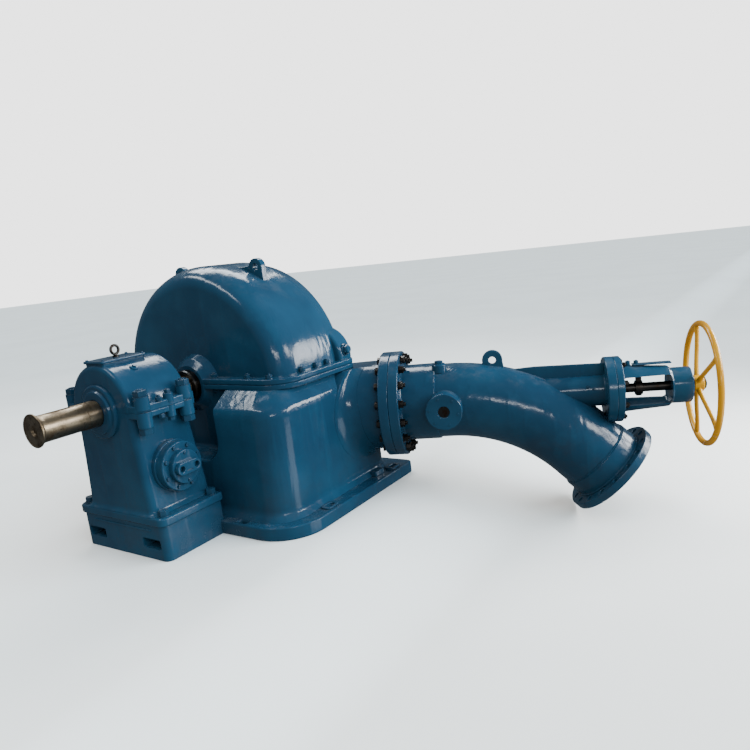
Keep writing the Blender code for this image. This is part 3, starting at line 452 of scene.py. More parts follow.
def machine_enamel(name, fresh, faded, dusty=0.14, gloss=0.13):
    """Alkyd machine enamel brushed and sprayed over rough castings.

    It looks deep and wet: an orange-peel skin and slack brush waves break every highlight into strokes,
    sags run down the walls, thin coats look a little lighter, and the coat turns darker, browner and
    rougher in patches towards the bottom of the machine.
    """
    mat, tree, shader, place = new_finish(name, 0.0, gloss, 1.40)
    cloud = patches(tree, place, 240.0, 3.0, 0.55)
    mottle = patches(tree, place, 40.0, 3.0, 0.6)
    # Runs: noise squeezed along Z so that its patches are eight times taller than wide
    squeezed = add(tree, "ShaderNodeMapping", {"Scale": (1.0, 1.0, 0.12)}, {"Vector": place}).outputs[0]
    runs = patches(tree, squeezed, 30.0, 2.0, 0.5, 0.3)
    up = add(tree, "ShaderNodeSeparateXYZ", {},
        {0: add(tree, "ShaderNodeNewGeometry").outputs["Normal"]}).outputs[2]
    facing_up = ramp(tree, up, 0.55, 0.98)
    dust_noise = ramp(tree, patches(tree, place, 46.0, 6.0, 0.7), 0.44, 0.70)
    dust = maths(tree, "MULTIPLY", maths(tree, "MULTIPLY", facing_up, dust_noise), dusty)
    coat = blend(tree, ramp(tree, cloud, 0.35, 0.68), linear(fresh), linear(faded))
    coat = blend(tree, maths(tree, "MULTIPLY", ramp(tree, mottle, 0.48, 0.75), 0.30), coat,
        linear(faded))
    coat = blend(tree, maths(tree, "MULTIPLY", ramp(tree, runs, 0.56, 0.70), 0.25), coat, linear(faded))
    # Darker, browner and rougher coat in patches, growing towards the bottom over the lowest 0.4 m
    height = add(tree, "ShaderNodeSeparateXYZ", {}, {0: place}).outputs[2]
    low = maths(tree, "MULTIPLY", ramp(tree, height, 0.38, 0.02),
        ramp(tree, patches(tree, place, 110.0, 5.0, 0.7), 0.42, 0.64))
    coat = blend(tree, maths(tree, "MULTIPLY", low, 0.22), coat, linear("#26231d"))
    coat = blend(tree, dust, coat, linear("#7d7b72"))
    tree.links.new(coat, shader.inputs["Base Color"])
    rough = maths(tree, "ADD", maths(tree, "MULTIPLY", dust, 0.6),
        maths(tree, "MULTIPLY", mottle, 0.14))
    rough = maths(tree, "ADD", rough, maths(tree, "MULTIPLY", low, 0.12))
    tree.links.new(maths(tree, "ADD", rough, gloss - 0.05), shader.inputs["Roughness"])
    # Slack waves of about 30 mm, runs, and orange peel drawn at 3 mm
    waves = patches(tree, place, 32.0, 2.0, 0.5)
    peel = patches(tree, place, 3.0, 2.0, 0.5)
    swell = add(tree, "ShaderNodeBump", {"Strength": 0.45, "Distance": 0.0030}, {"Height": waves})
    drips = add(tree, "ShaderNodeBump", {"Strength": 0.5, "Distance": 0.0018},
        {"Height": ramp(tree, runs, 0.45, 0.75), "Normal": swell.outputs[0]})
    skin = add(tree, "ShaderNodeBump", {"Strength": 0.32, "Distance": 0.0005},
        {"Height": peel, "Normal": drips.outputs[0]})
    tree.links.new(skin.outputs[0], shader.inputs["Normal"])
    return mat


def wheel_enamel(name):
    """Yellow-ochre gloss enamel dipped on a cast handwheel: bright, with worn, dirtier grip patches."""
    mat, tree, shader, place = new_finish(name, 0.0, 0.28, 1.50)
    cloud = ramp(tree, patches(tree, place, 90.0, 3.0, 0.6), 0.38, 0.66)
    grime = ramp(tree, patches(tree, place, 28.0, 5.0, 0.7), 0.56, 0.74)
    coat = blend(tree, cloud, linear("#b57c06"), linear("#c48c10"))
    coat = blend(tree, maths(tree, "MULTIPLY", grime, 0.5), coat, linear("#5f4008"))
    tree.links.new(coat, shader.inputs["Base Color"])
    tree.links.new(maths(tree, "ADD", maths(tree, "MULTIPLY", grime, 0.2), 0.24),
        shader.inputs["Roughness"])
    skin = add(tree, "ShaderNodeBump", {"Strength": 0.3, "Distance": 0.0006},
        {"Height": patches(tree, place, 6.0, 2.0)})
    tree.links.new(skin.outputs[0], shader.inputs["Normal"])
    return mat


def oiled_steel(name, clean, stained, roughness=0.34, base=SHAFT):
    """Turned carbon steel under old preserving oil: fine tool rings, brown stains, dull gloss."""
    mat, tree, shader, place = new_finish(name, 1.0, roughness)
    stain = ramp(tree, patches(tree, place, 38.0, 6.0, 0.7), 0.40, 0.62)
    specks = ramp(tree, patches(tree, place, 5.0, 4.0, 0.6), 0.58, 0.70)
    coat = blend(tree, stain, linear(clean), linear(stained))
    coat = blend(tree, maths(tree, "MULTIPLY", specks, 0.5), coat, linear("#2a211a"))
    tree.links.new(coat, shader.inputs["Base Color"])
    tree.links.new(maths(tree, "ADD", maths(tree, "MULTIPLY", stain, 0.16), roughness - 0.06),
        shader.inputs["Roughness"])
    # Tool rings 1.6 mm apart, square to the axis
    turn = Matrix(base[:3, :3].T.tolist()).to_euler()
    along = add(tree, "ShaderNodeMapping", {"Rotation": tuple(turn)}, {"Vector": place}).outputs[0]
    station = add(tree, "ShaderNodeSeparateXYZ", {}, {0: along}).outputs[2]
    rings = maths(tree, "SINE", maths(tree, "MULTIPLY", station, 2 * np.pi / 0.0016), 0.0)
    bump = add(tree, "ShaderNodeBump", {"Strength": 0.12, "Distance": 0.0002}, {"Height": rings})
    tree.links.new(bump.outputs[0], shader.inputs["Normal"])
    return mat


def black_oxide(name):
    """Blackened, oily steel of screws and spindle: near black, soft highlights, brown in the corners."""
    mat, tree, shader, place = new_finish(name, 1.0, 0.42)
    rust = ramp(tree, patches(tree, place, 9.0, 5.0, 0.7), 0.50, 0.66)
    coat = blend(tree, rust, linear("#4d4a47"), linear("#4a382c"))
    tree.links.new(coat, shader.inputs["Base Color"])
    bump = add(tree, "ShaderNodeBump", {"Strength": 0.2, "Distance": 0.0003},
        {"Height": patches(tree, place, 2.5, 3.0)})
    tree.links.new(bump.outputs[0], shader.inputs["Normal"])
    return mat


def cast_bronze(name):
    """Cast bronze of the runner: dull brown, a little uneven, with a soft gloss."""
    mat, tree, shader, place = new_finish(name, 1.0, 0.38)
    coat = blend(tree, ramp(tree, patches(tree, place, 22.0, 4.0), 0.4, 0.6), linear("#b08a54"),
        linear("#8a6a3e"))
    tree.links.new(coat, shader.inputs["Base Color"])
    return mat


def pale_floor(name):
    """Matt pale floor paint."""
    mat, tree, shader, place = new_finish(name, 0.0, 0.75, 1.45)
    coat = blend(tree, ramp(tree, patches(tree, place, 700.0, 3.0), 0.4, 0.6), linear("#f8f4ee"),
        linear("#f4f0ea"))
    tree.links.new(coat, shader.inputs["Base Color"])
    return mat


ENAMEL = machine_enamel("machine_enamel", "#173144", "#1e3f54")
BOLT_ENAMEL = machine_enamel("bolt_enamel", "#152d3e", "#1d394c", 0.25, 0.20)
OCHRE = wheel_enamel("handwheel_enamel")
SHAFT_STEEL = oiled_steel("oiled_shaft_steel", "#ab9a81", "#75634d", 0.42)
SEAL_STEEL = oiled_steel("seal_ring_steel", "#4d4e4e", "#332f2a", 0.34)
BLACK = black_oxide("black_oxide_steel")
BOLT_DARK = black_oxide("flange_bolt_steel")
BRONZE = cast_bronze("cast_bronze")
FLOOR = pale_floor("floor_paint")


# Foundation plate and casing

def build_base_plate():
    """Plate with a wide rounded front, its anchor slots and the water opening."""
    outline = oblong(-0.646, 0.646, -0.542, 0.360, (0.190, 0.190, 0.030, 0.030), 14)
    holes = [oblong(-0.50, 0.50, -0.415, 0.235, 0.080, 6)]
    for side in (-1, 1):
        holes.append(slot_hole((side * 0.352, -0.514), 0.050, 0.024))
        holes.append(slot_hole((side * 0.606, -0.262), 0.050, 0.024, True))
        holes.append(slot_hole((side * 0.606, 0.235), 0.050, 0.024, True))
        holes.append(slot_hole((side * 0.300, 0.330), 0.050, 0.022))
    body = as_object("base_plate_body", plate(outline, 0.0, 0.056, 0.007, PLAN, holes))
    paint(body, "base_plate")


def casing_plan(grow_x, front, rear, corner):
    """Plan of the lower casing at one height."""
    half = 0.560 + grow_x
    return oblong(-half, half, front, rear, corner, 10)


def casing_body_shape(rows):
    """Casing walls: the plan's half width, ends and corner follow a softened line of heights."""
    line = soften(rows, (0.030, 0.030, 0.050, 0.0), 8)
    return stacked([(z, casing_plan(g, f, r, c)) for z, g, f, r, c in line], PLAN)


def niche_shape():
    """Recess cutter: its outline grows along the depth with a rounded floor edge and mouth."""
    depth = [0.345, 0.3452, 0.349, 0.357, 0.368, 0.465, 0.472, 0.4775, 0.4805, 0.600]
    grow = [-0.020, -0.019, -0.010, -0.003, 0.0, 0.0, 0.003, 0.009, 0.016, 0.016]
    sections = []
    for w, g in zip(depth, grow):
        half = 0.232 + g
        corners = (0.090 + g, 0.090 + g, 0.010, 0.010)
        sections.append((w, oblong(-half, half, 0.290 - g, 0.700, corners, 10)))
    return stacked(sections, NICHE)


def neck_line(share, steps=144):
    """Ring of the neck's flare, in the nozzle frame.

    At every angle a quadratic Bezier curve leaves the band along the neck, has its control point where
    the band would meet the wall's plane, and arrives along that plane. Both reaches shrink with a
    smooth step towards the rear, where the casing's corner falls away, and towards the top.
    """
    c, s = np.cos(JET_TURN), np.sin(JET_TURN)
    a = np.linspace(0.0, 2 * np.pi, steps, endpoint=False)
    rear, down = np.sin(a), np.cos(a)
    wide = np.clip((0.55 - rear) / 1.1, 0.0, 1.0)
    wide = (0.1 + 0.9 * wide * wide * (3 - 2 * wide)) * (1.0 - 0.55 * np.maximum(-down, 0.0))
    radius = FLARE_R
    corner = np.minimum((-0.073 + s * radius * rear) / c, -0.008)
    start = np.minimum(corner + 0.078 * wide, -0.004)
    reach = 0.060 * wide / np.hypot(c * rear, down)
    u, v, w = (1 - share) ** 2, 2 * share * (1 - share), share ** 2
    x = (u + v + w) * radius * down + w * reach * down
    y = (u + v + w) * radius * rear + w * reach * c * c * rear
    z = u * start + v * corner + w * (corner + reach * c * s * rear)
    return np.stack((x, y, z), -1)


def flange_plan():
    """Plan of the split flange, wide rounded corners in front."""
    return oblong(-0.540, 0.540, -0.370, 0.125, (0.120, 0.120, 0.030, 0.030), 12)


def build_casing():
    """Lower casing with recess, sloping shoulder, hollow inside, flange and seal seat."""
    outer = casing_body_shape([(0.0563, 0.020, -0.500, 0.320, 0.132),
        (0.086, 0.0, -0.480, 0.300, 0.115),
        (0.500, -0.002, -0.477, 0.297, 0.115),
        (0.567, -0.054, -0.384, 0.162, 0.100)])
    case = as_object("casing_body", outer)
    hollow = stacked([(0.04, oblong(-0.50, 0.50, -0.415, 0.235, 0.080, 4)),
        (0.080, oblong(-0.50, 0.50, -0.415, 0.235, 0.080, 4)),
        (0.085, oblong(-0.544, 0.544, -0.464, 0.284, 0.080, 4)),
        (0.460, oblong(-0.544, 0.544, -0.464, 0.284, 0.080, 4)),
        (0.555, oblong(-0.480, 0.480, -0.345, 0.110, 0.060, 4)),
        (0.640, oblong(-0.470, 0.470, -0.290, 0.100, 0.050, 4))], PLAN)
    void = as_object("hollow", hollow)
    cut(void, block(NICHE, -0.248, 0.248, 0.274, 0.80, 0.329, 0.70))
    cut(case, niche_shape())
    fuse(case, plate(flange_plan(), 0.565, 0.5865, 0.004, PLAN))
    combine(case, void, "DIFFERENCE")
    fuse(case, turned(seat_profile(), SHAFT, 72))
    bore = rod(0.168, 0.10, -0.45, JET, 64)
    way = rod(0.056, -0.2, -0.6, SHAFT)
    cut(case, block(PLAN, -1, 1, -1, 1, 0.5865, 0.9), bore, way)
    paint(case, "casing")


def build_neck():
    """Inlet neck: a turned band behind the flange, then the flare that runs out on the casing wall."""
    flare = [neck_line(t) for t in np.linspace(0.0, 1.0, 15)]
    band = flare[0] * (NECK_R / FLARE_R, NECK_R / FLARE_R, 1.0)
    behind = flare[-1] - (0.0, 0.0, 0.045)
    a = np.linspace(0.0, 2 * np.pi, 144, endpoint=False)
    inner = np.stack((0.190 * np.cos(a), 0.190 * np.sin(a), np.full(144, -0.33)), -1)
    mouth = band * (1.0, 1.0, 0.0) + (0.0, 0.0, 0.002)
    rows = np.stack([mouth, band, *flare, behind, inner])
    neck = as_object("casing_neck_body", surface(placed(JET, rows[..., 0], rows[..., 1], rows[..., 2])))
    cut(neck, block(PLAN, -1, 1.4, 0.384, 1.5, -0.5, 0.9),
        plate(flange_plan(), 0.560, 0.80, 0.0, PLAN, (), 1),
        block(PLAN, -1, 0.62, -1, 1, 0.5647, 0.9))
    flange = soften([(0.160, 0.0433), (0.235, 0.0433), (0.235, 0.0), (0.160, 0.0)],
        (0, 0.004, 0.005, 0), 5, True)
    fuse(neck, turned(flange, JET, 144, True))
    cut(neck, rod(0.168, 0.10, -0.45, JET, 72))
    paint(neck, "casing_neck")


def seat_profile():
    """Domed seat of the shaft seal on the front of casing and hood."""
    return soften([(0.132, -0.292), (0.132, -0.316), (0.116, -0.345), (0.089, -0.3705)],
        (0.0, 0.02, 0.02, 0.0), 5)


# Hood

def hood_section(wall=0.0):
    """Half section of the hood from rear to front: flat rear, round rim, and an elliptical brow."""
    rear, front, radius = 0.135 - wall, -0.315 + wall, 0.500 - wall
    a = np.linspace(0.0, np.pi / 2, 16)
    brow = np.stack((radius - 0.086 * (1 - np.cos(a)), front + 0.130 * (1 - np.sin(a))), -1)
    shell = [(0.440 - wall, rear), (0.482 - wall, 0.112), (radius, 0.030)]
    return np.concatenate((soften(shell + [tuple(brow[0])], (0.0, 0.03, 0.10, 0.0), 6)[:-1], brow))


def build_hood():
    """Round hood with its flange, seal seat, deflector lobe and hollow inside."""
    hood = as_object("hood_body", turned(hood_section(), SHAFT, 160))
    cut(hood, block(PLAN, -1, 1, -1, 1, -0.1, 0.590))
    lobe_frame = local_frame((0.398, WHEEL_Y, 0.625), (1, 0, 0), (0, 1, 0))
    lobe = lathe([(0.05, 0.1248), (0.130, 0.1248), (0.130, 0.036), (0.05, 0.036)],
        (0, 0.016, 0.016, 0), 6, lobe_frame, 72)
    boss = lathe([(0.017, 0.0), (0.017, 0.146), (0.012, 0.150)], (0, 0.002, 0), 3, DEFLECTOR, 32)
    flange = plate(flange_plan(), 0.5868, 0.610, 0.005, PLAN)
    fuse(hood, lobe, flange, turned(seat_profile(), SHAFT, 72), boss)
    void = turned(hood_section(0.014), SHAFT, 96)
    cut(hood, void, block(PLAN, -1, 1, -1, 1, 0.3, 0.5868))
    cut(hood, plate(oblong(-0.470, 0.470, -0.290, 0.100, 0.050, 5), 0.50, 0.64, 0.0, PLAN, (), 1))
    cut(hood, rod(0.056, -0.2, -0.6, SHAFT))
    paint(hood, "hood")


def build_deflector_gland():
    """Gland of the deflector shaft on the hood's lobe: a disc and a nut."""
    disc = lathe([(0.027, 0.118), (0.027, 0.1315), (0.017, 0.1315)], (0, 0.002, 0), 3, DEFLECTOR, 36)
    nut = hex_head(DEFLECTOR, (0, 0), 0.040, 0.1312, 0.1415, 0.0016, 0.35)
    paint(as_object("deflector_gland", together(disc, nut)), coat=BOLT_ENAMEL)


def build_slot_rims():
    """Raised seats round the side anchor slots and the small gusset on the nozzle side."""
    shapes = []
    for side in (-1, 1):
        for y, top in ((-0.262, 0.063), (0.235, 0.066)):
            x = side * 0.606
            outline = oblong(x - 0.025, x + 0.025, y - 0.041, y + 0.041, 0.020, 6)
            shapes.append(plate(outline, 0.0555, top, 0.003, PLAN,
                [slot_hole((x, y), 0.0505, 0.0245, True)]))
    shapes.append(plate(oblong(0.572, 0.606, 0.095, 0.165, 0.008), 0.0555, 0.078, 0.004, PLAN))
    paint(as_object("anchor_slot_seats", together(*shapes)))


def build_hood_lug(name, side, centre):
    """Lifting eye: upright plate with a round top and a web that runs out on the hood."""
    x = abs(centre)
    a = np.linspace(0.0, np.radians(196.0), 26)
    head = np.stack((side * (x + 0.0364 * np.cos(a)), 1.050 + 0.0364 * np.sin(a)), -1)
    outline = np.concatenate(([(side * (x + 0.038), 0.955)], head, [(side * (x - 0.045), 1.056),
        (side * (x - 0.158), 1.056), (side * (x - 0.158), 0.955)]))
    base = local_frame((0.0, 0.375, 0.0), (1, 0, 0), (0, -1, 0))
    lug = as_object(name + "_body", plate(outline, -0.015, 0.015, 0.0035, base,
        [circle(0.014, 28, (centre, 1.050))]))
    cut(lug, turned(hood_section(0.004), SHAFT, 96))
    paint(lug, name)


def build_hood_bolts():
    """Bolts of the split flange, in front and on both sides."""
    shapes = []
    places = [(s * 0.505, y) for s in (-1, 1) for y in (-0.206, -0.113, -0.037, 0.079)]
    places += [(s * x, -0.345) for s in (-1, 1) for x in (0.135, 0.331, 0.448)]
    for number, (x, y) in enumerate(places):
        shapes.append(bolt(PLAN, (x, y), 0.024, 0.610, 0.6265, 0.005, 0.7 * number))
        shapes.append(hex_head(PLAN, (x, y), 0.024, 0.550, 0.5652, 0.0012, 0.4 * number))
    paint(as_object("hood_flange_bolts", together(*shapes)), coat=BOLT_ENAMEL)


# Shaft line

def build_shaft():
    """Shaft with its end collar and keyway."""
    line = soften([(0.046, 0.030), (0.046, -0.030), (0.050, -0.036), (0.050, -0.836),
        (0.0511, -0.8365), (0.0511, -0.890), (0.050, -0.8905), (0.050, -1.050),
        (0.0535, -1.066), (0.0618, -1.0725), (0.062, -1.0785), (0.057, -1.0788),
        (0.055, -1.0768), (0.020, -1.0768), (0.014, -1.068), (0.001, -1.068)],
        (0, 0, 0.002, 0, 0, 0, 0, 0.02, 0.012, 0.002, 0.0015, 0.001, 0.001, 0.002, 0.001, 0), 6)
    shaft = as_object("shaft_body", turned(line, SHAFT, 96))
    keyway = slot_hole((0.0, -0.985), 0.110, 0.026, True, 10)
    cut(shaft, plate(keyway, SHAFT_Z + 0.040, SHAFT_Z + 0.09, 0.0, PLAN, (), 1))
    dress(shaft, SHAFT_STEEL, "rotor", instead_of=("shaft",))


def build_shaft_seal():
    """Gland ring of the shaft seal."""
    line = soften([(0.074, -0.3708), (0.074, -0.392), (0.069, -0.399), (0.0515, -0.399),
        (0.0515, -0.3708)],
        (0, 0.002, 0.002, 0.002, 0), 4, True)
    dress(as_object("shaft_seal_body", turned(line, SHAFT, 72, True)), SEAL_STEEL,
        instead_of=("shaft_seal",))


# Bearing pedestal

def build_pedestal_base():
    """Foot with its lip, front ledge and two deep windows."""
    outline = oblong(-0.254, 0.254, -0.819, -0.518, (0.030, 0.030, 0.012, 0.012))
    foot = as_object("pedestal_base_body", plate(outline, 0.0, 0.150, 0.004, PLAN))
    rim = oblong(-0.264, 0.264, -0.827, -0.515, (0.034, 0.034, 0.012, 0.012))
    lip = plate(rim, 0.142, 0.176, 0.007, PLAN)
    ledge = plate(oblong(-0.175, 0.175, -0.8225, -0.80, 0.002, 2), 0.117, 0.125, 0.002, PLAN, (), 2)
    fuse(foot, lip, ledge)
    cut(foot, block(PLAN, -0.5, 0.5, -0.5423, 0.0, -0.1, 0.0563))
    for side in (-1, 1):
        x0, x1 = sorted((side * 0.118, side * 0.222))
        cut(foot, plate(oblong(x0, x1, 0.046, 0.086, 0.008, 4), 0.729, 0.869, 0.0, NICHE, (), 1))
    paint(foot, "pedestal_base")


def housing_plan():
    """Plan of the flange on which the bearing housing splits."""
    return oblong(-0.230, 0.230, -0.809, -0.535, 0.030)


BOSSES = [(side * 0.212, y) for side in (-1, 1) for y in (-0.778, -0.580)]


def build_pedestal_housing():
    """Lower half of the bearing housing: tapering box with a swept foot and bolt bosses."""
    line = soften([(0.1763, 0.218, -0.825, -0.517, 0.034), (0.186, 0.202, -0.813, -0.518, 0.030),
        (0.240, 0.197, -0.811, -0.518, 0.030), (0.300, 0.191, -0.811, -0.521, 0.030),
        (0.465, 0.179, -0.811, -0.535, 0.030), (0.578, 0.175, -0.811, -0.535, 0.030)],
        (0, 0.025, 0, 0.05, 0.05, 0), 5)
    walls = stacked([(z, oblong(-h, h, f, r, c)) for z, h, f, r, c in line], PLAN)
    body = as_object("pedestal_housing_body", walls)
    parts = [plate(housing_plan(), 0.554, 0.578, 0.005, PLAN)]
    large = [(0.026, 0.515), (0.029, 0.521), (0.029, 0.577)]
    small = [(0.017, 0.531), (0.019, 0.535), (0.019, 0.577)]
    for x, y in BOSSES:
        parts.append(lathe(large, (0.002, 0.002, 0), 3, column(x, y), 36))
    for side in (-1, 1):
        parts.append(lathe(small, (0.002, 0.002, 0), 3, column(side * 0.218, -0.662), 28))
    fuse(body, *parts)
    cut(body, rod(0.051, -0.4, -1.0, SHAFT))
    paint(body, "pedestal_housing")


def build_bearing_cap():
    """Half-round cap with rounded rims, its flange, bolt columns and cover pad."""
    line = [(0.06, -0.535), (0.180, -0.535), (0.180, -0.811), (0.06, -0.811)]
    cap = as_object("bearing_cap_body", lathe(line, (0, 0.012, 0.020, 0), 8, SHAFT, 128))
    parts = [plate(housing_plan(), 0.570, 0.604, 0.005, PLAN)]
    large = [(0.029, 0.586), (0.029, 0.634)]
    small = [(0.019, 0.590), (0.019, 0.622), (0.015, 0.624)]
    for x, y in BOSSES:
        parts.append(lathe(large, 0.0, 6, column(x, y), 36))
    for side in (-1, 1):
        parts.append(lathe(small, (0, 0.002, 0), 3, column(side * 0.218, -0.662), 28))
    parts.append(plate(oblong(-0.055, 0.055, -0.800, -0.610, 0.008), 0.700, 0.7605, 0.002, PLAN))
    fuse(cap, *parts)
    cut(cap, block(PLAN, -1, 1, -1, 1, 0.2, 0.5783), rod(0.051, -0.4, -1.0, SHAFT))
    paint(cap, "bearing_cap")


def build_cap_bolts():
    """Nuts of the cap: large ones on the columns, small ones between, and those beneath."""
    shapes = []
    for number, (x, y) in enumerate(BOSSES):
        shapes.append(bolt(PLAN, (x, y), 0.046, 0.634, 0.6585, 0.004, 0.5 * number + 0.2))
        shapes.append(hex_head(PLAN, (x, y), 0.048, 0.493, 0.5155, 0.002, 0.6 * number))
    for side in (-1, 1):
        shapes.append(bolt(PLAN, (side * 0.218, -0.662), 0.024, 0.623, 0.637, 0.004, 0.3))
        shapes.append(hex_head(PLAN, (side * 0.218, -0.662), 0.026, 0.517, 0.5312, 0.0015, 0.1))
        shapes.append(bolt(PLAN, (side * 0.226, -0.712), 0.022, 0.604, 0.620, 0.008, 0.8))
        shapes.append(hex_head(PLAN, (side * 0.226, -0.712), 0.022, 0.540, 0.5542, 0.0012, 0.5))
    paint(as_object("bearing_cap_bolts", together(*shapes)), coat=BOLT_ENAMEL)


def build_cap_cover():
    """Inspection cover with its corner screws and the small filler plug beside it."""
    cover = plate(oblong(-0.062, 0.062, -0.806, -0.604, 0.010), 0.7608, 0.7700, 0.0025, PLAN)
    shapes = [cover]
    for x in (-0.050, 0.050):
        for y in (-0.793, -0.617):
            shapes.append(hex_head(PLAN, (x, y), 0.010, 0.7695, 0.7745, 0.0008, 0.2))
    casting("cap_cover", together(*shapes))
    tilt = np.radians(33.0)
    base = local_frame((0.178 * np.sin(tilt), WHEEL_Y - 0.700, SHAFT_Z + 0.178 * np.cos(tilt)),
        (np.cos(tilt), 0.0, -np.sin(tilt)), (np.sin(tilt), 0.0, np.cos(tilt)))
    plug = lathe([(0.017, -0.006), (0.017, 0.006), (0.010, 0.008)], (0, 0.002, 0), 3, base, 28)
    paint(as_object("cap_filler_plug", together(plug, hex_head(base, (0, 0), 0.015, 0.0075, 0.014))))


def build_eyebolt():
    """Lifting eye: a torus on a turned foot."""
    a = np.linspace(0.0, 2 * np.pi, 48, endpoint=False)
    centre = np.array((0.0, WHEEL_Y - 0.700, 0.7985))
    path = centre + np.stack((0 * a, 0.0168 * np.cos(a), 0.0168 * np.sin(a)), -1)
    ring = bar(path, 0.0055, (1, 0, 0), 18, True)
    foot = lathe([(0.0125, 0.7703), (0.0125, 0.7745), (0.0070, 0.778), (0.0062, 0.7845)],
        (0, 0.001, 0.002, 0), 3, column(0.0, -0.700), 28)
    dress(as_object("cap_eyebolt_body", together(ring, foot)), BLACK,
        instead_of=("cap_eyebolt",))


def build_bearing_seals():
    """Stepped seal covers on both faces of the bearing housing."""
    front = soften([(0.106, -0.8113), (0.106, -0.820), (0.099, -0.8245), (0.086, -0.8245),
        (0.082, -0.833), (0.072, -0.8345), (0.0515, -0.8345), (0.0515, -0.8113)],
        (0, 0.003, 0.003, 0.002, 0.002, 0.002, 0.001, 0), 4, True)
    casting("bearing_seal_front", turned(front, SHAFT, 96, True))
    rear = soften([(0.106, -0.5347), (0.106, -0.524), (0.099, -0.520), (0.082, -0.512),
        (0.078, -0.5055), (0.0515, -0.5055), (0.0515, -0.5347)],
        (0, 0.003, 0.003, 0.002, 0.002, 0.001, 0), 4, True)
    casting("bearing_seal_rear", turned(rear, SHAFT, 96, True))


def build_cooler():
    """Cooler port: ring, bolted flange, cover disc and the oval manifold with two ports."""
    pieces = (("cooler_ring", [(0.103, 0.165), (0.103, 0.2050), (0.050, 0.2050)], (0, 0.004, 0)),
        ("cooler_flange", [(0.097, 0.2053), (0.097, 0.2400), (0.050, 0.2400)], (0, 0.005, 0)),
        ("cooler_cover", [(0.067, 0.2403), (0.067, 0.2640), (0.030, 0.2640)], (0, 0.005, 0)))
    for name, line, radii in pieces:
        casting(name, lathe(line, radii, 5, COOLER, 96))
    outline = slot_hole((0, 0), 0.116, 0.050, True, 16)
    ports = [circle(0.0115, 28, (0, y)) for y in (-0.035, 0.035)]
    manifold = as_object("cooler_manifold_body",
        plate(outline, 0.2643, 0.283, 0.003, COOLER, ports))
    groove = oblong(0.008, 0.0115, -0.016, 0.014, 0.001, 2)
    cut(manifold, plate(groove, 0.279, 0.29, 0.0, COOLER, (), 1))
    paint(manifold, "cooler_manifold")
    screws = [hex_head(COOLER, p, 0.014, 0.2396, 0.2475, 0.001, i)
        for i, p in enumerate(ring_of(8, 0.0825, 0.35))]
    screws += [hex_head(COOLER, p, 0.010, 0.2636, 0.2690, 0.001, i)
        for i, p in enumerate(ring_of(4, 0.055, 0.0))]
    paint(as_object("cooler_screws", together(*screws)), coat=BOLT_ENAMEL)


def build_foot_bolts():
    """Bolts of the pedestal on its foot."""
    places = ((-0.232, -0.787), (0.232, -0.787), (-0.232, -0.551), (0.232, -0.551))
    for number, (x, y) in enumerate(places, 1):
        shape = together(hex_head(PLAN, (x, y), 0.036, 0.1788, 0.200, 0.002, 0.4 * number),
            lathe([(0.024, 0.1763), (0.024, 0.1795)], 0.0, 6, column(x, y), 28))
        dress(as_object("pedestal_bolt_%d_body" % number, shape), BOLT_ENAMEL,
            instead_of=("pedestal_bolt_%d" % number,))


# Nozzle line

def build_spool():
    """Nozzle spool with its flange and a fillet to the pipe."""
    line = soften([(0.150, 0.0438), (0.235, 0.0438), (0.235, 0.0875), (0.170, 0.0875),
        (0.170, 0.235), (0.150, 0.235)],
        (0, 0.004, 0.005, 0.010, 0.003, 0), 6, True)
    spool = as_object("nozzle_spool_body", turned(line, JET, 128, True))
    paint(spool, "nozzle_spool")
    shapes = []
    back = local_frame(on_jet(0.0), -DOWN, -ALONG)
    for number, (x, y) in enumerate(ring_of(16, 0.2085, np.pi / 16)):
        shapes.append(bolt(JET, (x, y), 0.030, 0.0875, 0.1075, 0.010, 0.5 * number))
        shapes.append(hex_head(back, (-x, y), 0.030, 0.0, 0.016, 0.0015, 0.8 * number))
    paint(as_object("nozzle_flange_bolts", together(*shapes)), coat=BOLT_DARK)


def pipe_centre(steps=56):
    """Centre line of the bend: a stub, the arc of BEND_R, and the straight tail."""
    a = np.linspace(0.0, BEND, steps)
    down = BEND_R * (1 - np.cos(a))
    s = BEND_START + BEND_R * np.sin(a)
    down = np.concatenate(([0.0], down, [down[-1] + np.sin(BEND) * (TAIL - 0.0003)]))
    s = np.concatenate(([0.2353], s, [s[-1] + np.cos(BEND) * (TAIL - 0.0003)]))
    return on_jet(0.0) + s[:, None] * ALONG + down[:, None] * DOWN


def build_elbow():
    """Hollow bend: the pipe wall's section is carried along the centre line, out and back."""
    path = pipe_centre()
    tangent = np.gradient(path, axis=0)
    tangent /= np.linalg.norm(tangent, axis=1)[:, None]
    lift = np.cross(ASIDE, tangent)
    a = np.linspace(0.0, 2 * np.pi, 112, endpoint=False)
    ring = np.cos(a)[None, :, None] * lift[:, None, :] + np.sin(a)[None, :, None] * ASIDE
    outer = path[:, None, :] + PIPE_R * ring
    inner = path[:, None, :] + PIPE_BORE * ring
    elbow = as_object("elbow_body", surface(np.concatenate((outer, inner[::-1])), True))
    cut(elbow, rod(0.045, 1.10, 0.45, JET, 40))
    paint(elbow, "elbow", "elbow_lower", "elbow_tail")


